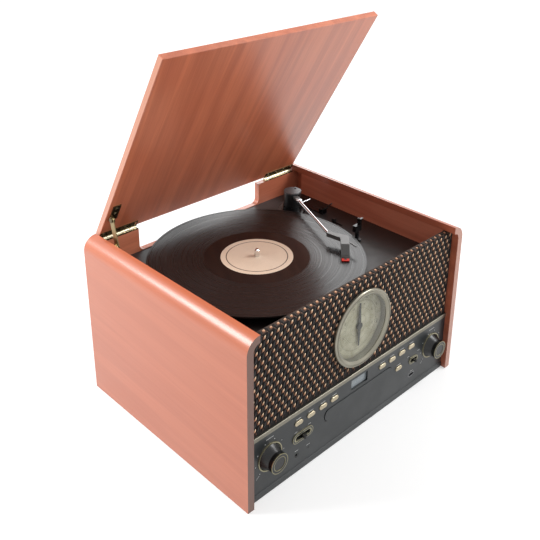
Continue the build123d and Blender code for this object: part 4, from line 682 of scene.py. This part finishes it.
def cartridge():
    mat, tree, shader = newMaterial("cartridgePlastic", Coat_Weight=0.4)
    coords = drawingCoords(tree, arm["shellRear"])
    fine = noise(tree, drawingCoords(tree), 2.5, detail=4)
    ahead = noseDirection()
    s = alongDirection(tree, coords, ahead)
    side = math2(tree, "ABSOLUTE", alongDirection(tree, coords, ahead.cross(Vector((0, 0, 1)))))
    tip = math2(tree, "GREATER_THAN", s, arm["redFrom"])
    narrow = math2(tree, "LESS_THAN", side, arm["notchHalf"])
    shallow = math2(tree, "LESS_THAN", s, arm["redFrom"] + arm["notchDepth"])
    notch = math2(tree, "MULTIPLY", narrow, shallow)
    tip = math2(tree, "MULTIPLY", tip, math2(tree, "SUBTRACT", 1.0, notch))
    red = shaded(tree, fine, arm["red"], 0.85)
    black = shaded(tree, fine, arm["black"], 0.8)
    tree.links.new(mixColour(tree, tip, black, red), shader.inputs["Base Color"])
    tree.links.new(greys(tree, fine, 0.35, 0.25), shader.inputs["Roughness"])
    bump(tree, shader, fine, 0.2, 0.00002)
    return mat


paint(toneArm(), "tone_arm")
paint(armTurret(), "arm_turret")
paint(cartridge(), "cartridge")

# Ribs down the sloping nose of the headshell
nose = {
    "start": 22.6,
    "end": 36.4,
    "top": 227.0,
    "kneeAt": 21.5,
    "fall": 0.71,
    "half": 4.9,
    "count": 6,
    "rib": 0.9,
    "sink": 0.4,
    "rise": 0.5,
}


def noseRibs():
    bm = bmesh.new()
    ahead = noseDirection()
    aside = Vector((0, 0, 1)).cross(ahead)
    rear = at(*arm["shellRear"])
    for k in range(nose["count"]):
        middle = nose["half"] * (2 * k / (nose["count"] - 1) - 1)
        corners = []
        for s in (nose["start"], nose["end"]):
            for lift in (-nose["sink"], nose["rise"]):
                for n in (middle - nose["rib"] / 2, middle + nose["rib"] / 2):
                    z = nose["top"] - (s - nose["kneeAt"]) * nose["fall"] + lift
                    corners.append(bm.verts.new(rear + (ahead * s + aside * n + Vector((0, 0, z))) * mm))
        for quad in ((0, 1, 3, 2), (4, 6, 7, 5), (0, 2, 6, 4), (1, 5, 7, 3), (2, 3, 7, 6), (0, 4, 5, 1)):
            bm.faces.new([corners[i] for i in quad])
    return bm


# Rear sockets: a black moulding
paint(finish["socket"], "socket_plate")
print("deck finishes done")


# Grille: plain backing cloth and, on it, tan beads over fat black cords
weave = {
    "pitch": 10.9,
    "row": 8.1,
    "shift": 4.8,
    # length, width, height, slant in degrees, then how far right and up of the bead it sits
    "bead": (6.6, 3.3, 1.3, 48, 0, 0),
    "cord": (9.4, 4.2, 1.2, 78, 5.0, 0.4),
    "thread": (8.0, 1.1, 1.2, 88, 2.0, -4.2),
    "front": 8.5,
    "back": 9.9,
    "wobble": 0.22,
    "left": -195.0,
    "right": 195.0,
    "bottom": 96.0,
    "top": 229.2,
    "bendRadius": 1.6,
    "topBack": 20.3,
    "hole": 54.0,
    "sunk": 0.15,
    "cell": 3.0,
}
weaveTonesWithPaintedLight = {
    # lower end, middle and upper end of each strand; the beads' dark lower end and light upper end are
    # painted shade and painted light
    "bead": ((112, 66, 44), (214, 158, 118), (250, 220, 186)),
    "cord": ((12, 10, 10), (17, 14, 13), (11, 9, 9)),
    "thread": ((74, 46, 32), (116, 78, 54), (60, 38, 28)),
    "cloth": ((24, 18, 16), (24, 18, 16), (30, 23, 20)),
}


def yarn(name, tones, roughness=0.7, shine=0.5):
    # Each strand's tint runs along it from its lower end to its upper end: the beads go from a dark lower
    # end, painted shade, to a light upper end, painted light; the cords and threads are darker at both ends.
    mat, tree, shader = newMaterial(name, Roughness=roughness, Specular_IOR_Level=shine)
    shader.inputs["Sheen Weight"].default_value = 0.3 * shine
    coords = drawingCoords(tree)
    along = addNode(tree, "Attribute", {"attribute_name": "along"}).outputs["Fac"]
    plies = addNode(tree, "TexWave", {"bands_direction": "DIAGONAL"}, Scale=0.55, Distortion=1.5)
    tree.links.new(coords, plies.inputs["Vector"])
    patch = noise(tree, coords, 0.09, detail=3)
    tint = ramp(tree, along, [(0.1, tones[0]), (0.5, tones[1]), (0.85, tones[2])], smooth=True)
    tint = mixColour(tree, 0.35, tint, greys(tree, plies.outputs["Fac"], 0.6, 1, 0.15, 0.8), "MULTIPLY")
    tint = mixColour(tree, 0.5, tint, greys(tree, patch, 0.78, 1.0), "MULTIPLY")
    tree.links.new(tint, shader.inputs["Base Color"])
    bump(tree, shader, plies.outputs["Fac"], 0.5, 0.00015)
    return mat


def leaf(bm, tone, place, along, across, out, size, steps=6, sides=6):
    # A pointed bead: a ring of points at each step, fat in the middle and lifted off the cloth there.
    length, width, lift = size
    rings = []
    for i in range(steps + 1):
        t = i / steps
        fat = max(0.12, math.sin(math.pi * t) ** 0.75)
        centre = place + along * (t - 0.5) * length * mm + out * lift * 0.42 * fat * mm
        ring = []
        for k in range(sides):
            a = 2 * math.pi * k / sides
            offset = across * math.cos(a) * width / 2 + out * math.sin(a) * lift / 2
            corner = bm.verts.new(centre + offset * fat * mm)
            corner[tone] = t
            ring.append(corner)
        rings.append(ring)
    for low, high in zip(rings, rings[1:]):
        for k in range(sides):
            bm.faces.new((low[k], low[(k + 1) % sides], high[(k + 1) % sides], high[k]))
    bm.faces.new(rings[0][::-1])
    bm.faces.new(rings[-1])


def onCloth(u, v):
    # v runs up the front and on over the rounded top edge; returns place, upward and outward directions.
    straight = weave["top"] - weave["bottom"] - weave["bendRadius"]
    arc = weave["bendRadius"] * math.pi / 2
    r = weave["bendRadius"]
    front = weave["back"]
    if v <= straight:
        return at(u, front, weave["bottom"] + v), Vector((0, 0, 1)), Vector((0, -1, 0))
    if v <= straight + arc:
        a = (v - straight) / r
        place = at(u, front + r - r * math.cos(a), weave["top"] - r + r * math.sin(a))
        return place, Vector((0, math.sin(a), math.cos(a))), Vector((0, -math.cos(a), math.sin(a)))
    back = v - straight - arc
    return at(u, front + r + back, weave["top"]), Vector((0, 1, 0)), Vector((0, 0, 1))


def addPiece(name, bm, mat, body, smooth=True):
    mesh = bpy.data.meshes.new(name)
    bmesh.ops.recalc_face_normals(bm, faces=bm.faces)
    bm.to_mesh(mesh)
    bm.free()
    mesh.materials.append(mat)
    for face in mesh.polygons:
        face.use_smooth = smooth
    obj = bpy.data.objects.new(name, mesh)
    bpy.context.collection.objects.link(obj)
    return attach(obj, body)


def clothLength():
    upFront = weave["top"] - weave["bottom"] - weave["bendRadius"] * (1 - math.pi / 2)
    return upFront + (weave["topBack"] - weave["back"] - weave["bendRadius"])


def beadWeave(reach):
    beads, cords, threads = bmesh.new(), bmesh.new(), bmesh.new()
    tones = {bm: bm.verts.layers.float.new("along") for bm in (beads, cords, threads)}
    right = Vector((1, 0, 0))
    rows = int(reach / weave["row"]) + 1
    columns = int((weave["right"] - weave["left"]) / weave["pitch"]) + 2
    for j in range(rows):
        v = reach - (j + 0.5) * weave["row"]
        offset = (j * weave["shift"]) % weave["pitch"]
        for i in range(columns):
            u = weave["left"] - 3.0 + offset + i * weave["pitch"] + random.gauss(0, weave["wobble"])
            w = v + random.gauss(0, weave["wobble"])
            for kind, bm in (("bead", beads), ("cord", cords), ("thread", threads)):
                *size, slant, du, dv = weave[kind]
                slant = math.radians(slant)
                place, up, out = onCloth(u + du, w + dv)
                aside = size[0] / 2 * math.cos(slant) + size[1] / 2 * math.sin(slant)
                rise = size[0] / 2 * math.sin(slant)
                if abs(u + du) + aside > weave["right"] or w + dv < rise or w + dv > reach - rise / 2:
                    continue
                if math.hypot(place.x / mm - dialX, place.z / mm - dialZ) < weave["hole"]:
                    continue
                along = right * math.cos(slant) + up * math.sin(slant)
                across = right * math.sin(slant) - up * math.cos(slant)
                swell = 1 + random.gauss(0, 0.05)
                leaf(bm, tones[bm], place, along, across, out, (size[0] * swell, size[1] * swell, size[2]))
    return beads, cords, threads


def backingCloth(reach):
    # A plain strip from the foot of the grille over its top edge, with the round opening for the dial.
    bm = bmesh.new()
    columns = int((weave["right"] - weave["left"]) / weave["cell"])
    rows = int(reach / weave["cell"])
    grid = []
    for j in range(rows + 1):
        row = []
        for i in range(columns + 1):
            u = weave["left"] + (weave["right"] - weave["left"]) * i / columns
            place, up, out = onCloth(u, reach * j / rows)
            row.append(bm.verts.new(place - out * weave["sunk"] * mm))
        grid.append(row)
    for low, high in zip(grid, grid[1:]):
        for i in range(columns):
            corners = (low[i], low[i + 1], high[i + 1], high[i])
            middle = sum((c.co for c in corners), Vector()) / 4
            if math.hypot(middle.x / mm - dialX, middle.z / mm - dialZ) > weave["hole"] - 2.5:
                bm.faces.new(corners)
    return bm


clothReach = clothLength()
beadMesh, cordMesh, threadMesh = beadWeave(clothReach)
beads = addPiece("grille_beads", beadMesh, yarn("beadYarn", weaveTonesWithPaintedLight["bead"]), "case")
cords = addPiece("grille_cords", cordMesh, yarn("cordYarn", weaveTonesWithPaintedLight["cord"], 0.55, 0.22), "case")
threads = addPiece("grille_threads", threadMesh, yarn("threadYarn", weaveTonesWithPaintedLight["thread"]), "case")
backingYarn = yarn("backingYarn", weaveTonesWithPaintedLight["cloth"], 0.8, 0.2)
cloth = addPiece("grille_backing", backingCloth(clothReach), backingYarn, "case")
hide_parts("grille_cloth")
addPiece("nose_ribs", noseRibs(), toneArm(), "tone_arm", smooth=False)
print("grille woven:", len(beads.data.polygons) + len(cords.data.polygons), "faces")


# Printed marks on the panel: plain dots round the knobs and dashes where captions would be
prints = {"ink": (196, 198, 196), "rise": 0.06, "dot": 1.5, "dotCircle": 23.5, "dots": 8, "dash": (8.0, 0.9)}
panelFace = 8.5


def printedMarks():
    bm = bmesh.new()
    y = panelFace - prints["rise"]

    def dash(x, z, length, height, turn=0.0):
        c, s = math.cos(turn), math.sin(turn)
        a, b = length / 2, height / 2
        corners = [(-a, -b), (a, -b), (a, b), (-a, b)]
        bm.faces.new([bm.verts.new(at(x + a * c - b * s, y, z + a * s + b * c)) for a, b in corners])

    def dot(x, z, radius, sides=12):
        corners = []
        for k in range(sides):
            a = 2 * math.pi * k / sides
            corners.append(bm.verts.new(at(x + radius * math.cos(a), y, z + radius * math.sin(a))))
        bm.faces.new(corners)

    for node in ("volume_knob", "tuning_knob"):
        x, z = midXZ(node)
        for k in range(prints["dots"]):
            a = math.radians(225 - 270 * k / (prints["dots"] - 1))
            r = prints["dotCircle"]
            dot(x + r * math.cos(a), z + r * math.sin(a), prints["dot"] / 2)
        dash(x - 20, z - 20.5, 6, 0.7, math.radians(35))
        dash(x, z + 27.5, 12, 0.8)
    for node in buttons:
        x, z = midXZ(node)
        dash(x, z + 5.9, *prints["dash"])
    for node in ("source_switch", "band_switch"):
        x, z = midXZ(node)
        dash(x - 12, z + 10, 5, 0.7)
        dash(x + 12, z + 10, 5, 0.7)
    for x, z in ((-117.2, 34.0), (-96.2, 31.5), (120.0, 31.5)):
        dash(x, z, 6, 0.7)
    return bm


# Rings round the switches and knobs: light metal, with a grey groove round each switch
rings = {
    "tint": (168, 162, 134),
    "line": 0.75,
    "between": (54, 56, 54),
    # left and right switch: place, half length of the middle line, least and greatest distance from it
    "switches": ((-106.6, 53.3, 11.0, 3.5, 7.0), (121.5, 50.4, 4.75, 3.0, 5.25)),
}


def pillDistance(tree, coords, x, z, half):
    # Distance in mm from a line that runs 'half' to each side of x, z.
    px, _, pz = split(tree, coords)
    dx = math2(tree, "ABSOLUTE", math2(tree, "SUBTRACT", px, float(x)))
    dx = math2(tree, "MAXIMUM", math2(tree, "SUBTRACT", dx, float(half)), 0.0)
    dz = math2(tree, "SUBTRACT", pz, float(z))
    square = math2(tree, "ADD", math2(tree, "MULTIPLY", dx, dx), math2(tree, "MULTIPLY", dz, dz))
    return math2(tree, "SQRT", square)


def ringMetal():
    mat, tree, shader = newMaterial("ringMetal")
    coords = drawingCoords(tree)
    fine = noise(tree, coords, 2.5, detail=4)
    found = []
    for x, z, half, low, high in rings["switches"]:
        away = pillDistance(tree, coords, x, z, half)
        found.append(between(tree, away, low + rings["line"], high - rings["line"]))
    grooved = anyOf(tree, found)
    light = shaded(tree, fine, rings["tint"], 0.85)
    tree.links.new(mixColour(tree, grooved, light, rings["between"]), shader.inputs["Base Color"])
    shiny = math2(tree, "SUBTRACT", 0.8, math2(tree, "MULTIPLY", grooved, 0.8))
    tree.links.new(shiny, shader.inputs["Metallic"])
    tree.links.new(greys(tree, fine, 0.4, 0.32), shader.inputs["Roughness"])
    bump(tree, shader, fine, 0.2, 0.00002)
    return mat


paint(ringMetal(), "panel_rings")

# Drawer front: painted shadow, a dark strip along its foot and round its right end where the gap is in
# shade, and painted light, a strip of panel enamel over the gap along its top
drawerEdge = {
    "left": -66.5,
    "right": 71.0,
    "low": 48.0,
    "top": 65.0,
    "corner": 8.5,
    "width": 1.0,
    "rise": 0.08,
    # the left end's small upward turn: right of the edge and up from the foot
    "turn": ((0.4, 2.4), (1.2, 0.9), (3.2, 0)),
}


def cornerPath(x, z, radius, start):
    # Thirteen places on a quarter circle round x, z; a negative radius runs it backwards.
    path = []
    for k in range(13):
        a = math.radians(start + 7.5 * k * (1 if radius > 0 else -1))
        path.append((x + abs(radius) * math.cos(a), z + abs(radius) * math.sin(a)))
    return path


# Dark strip along the foot and right end: painted shadow in the gap.
def drawerPaintedShadow():
    d = drawerEdge
    path = [(d["left"] + x, d["low"] + z) for x, z in d["turn"]]
    path += cornerPath(d["right"] - d["corner"], d["low"] + d["corner"], d["corner"], -90)
    return ribbon(path, d["width"], panelFace - d["rise"])


def ribbon(path, width, y):
    # A flat strip of even width that follows a path of x, z places.
    bm = bmesh.new()
    sides = []
    for i, (x, z) in enumerate(path):
        before, after = path[max(0, i - 1)], path[min(len(path) - 1, i + 1)]
        dx, dz = after[0] - before[0], after[1] - before[1]
        size = math.hypot(dx, dz)
        nx, nz = -dz / size * width / 2, dx / size * width / 2
        sides.append((bm.verts.new(at(x + nx, y, z + nz)), bm.verts.new(at(x - nx, y, z - nz))))
    for (a, b), (c, d) in zip(sides, sides[1:]):
        bm.faces.new((a, b, d, c))
    return bm


# Strip of panel enamel over the top gap and the left end's upper corner: painted light that hides the gap's
# shade.
def drawerTopPaintedLight():
    d = drawerEdge
    path = cornerPath(d["left"] + d["corner"], d["top"] - d["corner"], -d["corner"], 180)
    path.append((d["right"] - d["corner"], d["top"]))
    return ribbon(path, d["width"] * 0.9, panelFace - d["rise"] / 2)


gapShadowPaint = moulding("drawerGapShadowPaint", (12, 13, 14), 0.6)
for name, bm, mat in (("drawer_gap_painted_shadow", drawerPaintedShadow(), gapShadowPaint), ("drawer_top_painted_light", drawerTopPaintedLight(), panelEnamel)):
    addPiece(name, bm, mat, "disc_drawer", smooth=False)
inkPaint = moulding("panelInk", prints["ink"], 0.5, spread=0.05)
marks = addPiece("panel_marks", printedMarks(), inkPaint, "case", smooth=False)
print("panel marks printed")

# Dial print: plain numbers and minute strokes on the plate
scale = {
    "numbers": ("88", "92", "96", "100", "104", "108"),
    "inner": ("54", "60", "70", "90", "120", "160"),
    "sweep": (215, -35),
    "rise": 0.05,
    "size": 4.6,
    # radius of each circle of numbers and how large its numbers are
    "numbersAt": (39.5, 1.0),
    "innerAt": (29.6, 0.85),
    # inner radius, length, count and width of each circle of strokes
    "strokes": ((37.4, 2.6, 61, 0.28), (33.6, 2.0, 41, 0.25), (26.0, 1.8, 31, 0.25)),
}
plateFace = 15.0


def dialStrokes():
    bm = bmesh.new()
    start, end = scale["sweep"]
    for radius, length, count, width in scale["strokes"]:
        for k in range(count):
            a = math.radians(start + (end - start) * k / (count - 1))
            reach = length * (1.6 if k % 5 == 0 else 1.0)
            out = Vector((math.cos(a), 0, math.sin(a)))
            side = Vector((-math.sin(a), 0, math.cos(a))) * width / 2 * mm
            base = at(dialX, plateFace - scale["rise"], dialZ) + out * radius * mm
            tip = base + out * reach * mm
            bm.faces.new([bm.verts.new(p) for p in (base - side, tip - side, tip + side, base + side)])
    return bm


def numeral(text, radius, degrees, size):
    curve = bpy.data.curves.new("numeral", "FONT")
    curve.body = text
    curve.size = size * mm
    curve.align_x = "CENTER"
    curve.align_y = "CENTER"
    obj = bpy.data.objects.new("numeral", curve)
    bpy.context.collection.objects.link(obj)
    a = math.radians(degrees)
    place = at(dialX + radius * math.cos(a), plateFace - scale["rise"], dialZ + radius * math.sin(a))
    upright = Matrix.Rotation(math.pi / 2, 4, "X")
    obj.matrix_world = Matrix.Translation(place) @ Matrix.Rotation(math.pi / 2 - a, 4, "Y") @ upright
    return obj


def dialNumbers():
    made = []
    start, end = scale["sweep"]
    for kind in ("numbers", "inner"):
        radius, share = scale[kind + "At"]
        for k, text in enumerate(scale[kind]):
            degrees = start + (end - start) * (k + 0.5) / len(scale[kind])
            made.append(numeral(text, radius, degrees, scale["size"] * share))
    bpy.context.view_layer.update()
    joined = bmesh.new()
    depsgraph = bpy.context.evaluated_depsgraph_get()
    for obj in made:
        mesh = bpy.data.meshes.new_from_object(obj.evaluated_get(depsgraph))
        mesh.transform(obj.matrix_world)
        joined.from_mesh(mesh)
        bpy.data.meshes.remove(mesh)
        bpy.data.objects.remove(obj)
    return joined


dialInk = moulding("dialInk", dial["ink"], 0.5, spread=0.1)
for name, bm in (("dial_strokes", dialStrokes()), ("dial_numbers", dialNumbers())):
    addPiece(name, bm, dialInk, "case", smooth=False)
print("dial printed")


# Floor, lights and camera
studio = {
    "floor": (203, 203, 203),
    "floorLight": (206, 206, 206),
    "floorSide": 24,
    # the backdrop brightens from this distance on, over this length, in metres
    "nearEnd": 0.7,
    "fade": 3.0,
    "liftNear": 0.45,
    "liftFar": 0.78,
    "world": 0.55,
    # each lamp: place in metres, side of the square in metres, watts
    "keyLight": ((-1.0, 0.82, 1.2), 0.7, 25.0),
    "fillLight": ((0.9, -0.7, 1.1), 0.6, 14.0),
    "backLight": ((1.7, 1.6, 1.15), 1.0, 9.0),
}


def seenDirectly(tree):
    # One for what the camera, a reflection or a clear part sees; nought for light on matt surfaces.
    path = addNode(tree, "LightPath")
    seen = math2(tree, "MAXIMUM", path.outputs["Is Camera Ray"], path.outputs["Is Glossy Ray"])
    return math2(tree, "MAXIMUM", seen, path.outputs["Is Transmission Ray"])


def floorMaterial():
    mat, tree, shader = newMaterial("paleFloor", Roughness=0.9)
    coords = addNode(tree, "TexCoord").outputs["Object"]
    mottle = noise(tree, coords, 3.0, detail=2)
    tint = ramp(tree, mottle, [(0.3, studio["floor"]), (0.7, studio["floorLight"])])
    tree.links.new(tint, shader.inputs["Base Color"])
    # The white backdrop brightens with distance, where the lamps no longer reach.
    away = addNode(tree, "VectorMath", {"operation": "LENGTH"})
    tree.links.new(coords, away.inputs[0])
    beyond = math2(tree, "SUBTRACT", away.outputs["Value"], studio["nearEnd"])
    far = math2(tree, "DIVIDE", beyond, studio["fade"], clamp=True)
    lift = math2(tree, "MULTIPLY", far, studio["liftFar"] - studio["liftNear"])
    lift = math2(tree, "ADD", lift, studio["liftNear"])
    shader.inputs["Emission Color"].default_value = (1, 1, 1, 1)
    tree.links.new(math2(tree, "MULTIPLY", seenDirectly(tree), lift), shader.inputs["Emission Strength"])
    return mat


def areaLight(name):
    place, size, power = studio[name]
    data = bpy.data.lights.new(name, "AREA")
    data.shape = "SQUARE"
    data.size = size
    data.energy = power
    obj = bpy.data.objects.new(name, data)
    bpy.context.collection.objects.link(obj)
    obj.location = place
    obj.rotation_euler = (Vector((0, 0, 0.2)) - Vector(place)).to_track_quat("-Z", "Y").to_euler()


bpy.ops.mesh.primitive_plane_add(size=studio["floorSide"], location=(0, 0, 0))
floor = bpy.context.object
floor.name = "floor"
floor.data.materials.append(floorMaterial())

world = bpy.data.worlds.new("studioWorld")
bpy.context.scene.world = world
world.use_nodes = True
backdrop = world.node_tree.nodes["Background"]
backdrop.inputs["Color"].default_value = (1, 1, 1, 1)
whiter = math2(world.node_tree, "MULTIPLY", seenDirectly(world.node_tree), 1.0 - studio["world"])
strength = math2(world.node_tree, "ADD", whiter, studio["world"])
world.node_tree.links.new(strength, backdrop.inputs["Strength"])
for lamp in ("keyLight", "fillLight", "backLight"):
    areaLight(lamp)

# The camera was solved from the case's edges; its axes are right, up and forward.
camera = {
    "place": (-669.7, -522.5, 731.7),
    "right": (0.70718, -0.70689, 0.01444),
    "up": (0.25326, 0.27233, 0.92828),
    "forward": (0.66012, 0.6528, -0.37161),
    "lens": 51.86,
    "shift": (-0.041, -0.204),
}
cameraData = bpy.data.cameras.new("camera")
cameraData.lens = camera["lens"]
cameraData.sensor_width = 36
cameraData.shift_x, cameraData.shift_y = camera["shift"]
cameraData.clip_start = 0.05
cameraObject = bpy.data.objects.new("camera", cameraData)
bpy.context.collection.objects.link(cameraObject)
columns = [Vector(camera[axis]) for axis in ("right", "up", "forward")]
turnTo = Matrix((columns[0], columns[1], -columns[2])).transposed().to_4x4()
cameraObject.matrix_world = Matrix.Translation(at(*camera["place"])) @ turnTo
bpy.context.scene.camera = cameraObject
bpy.context.scene.view_settings.view_transform = "Standard"

print("scene ready")
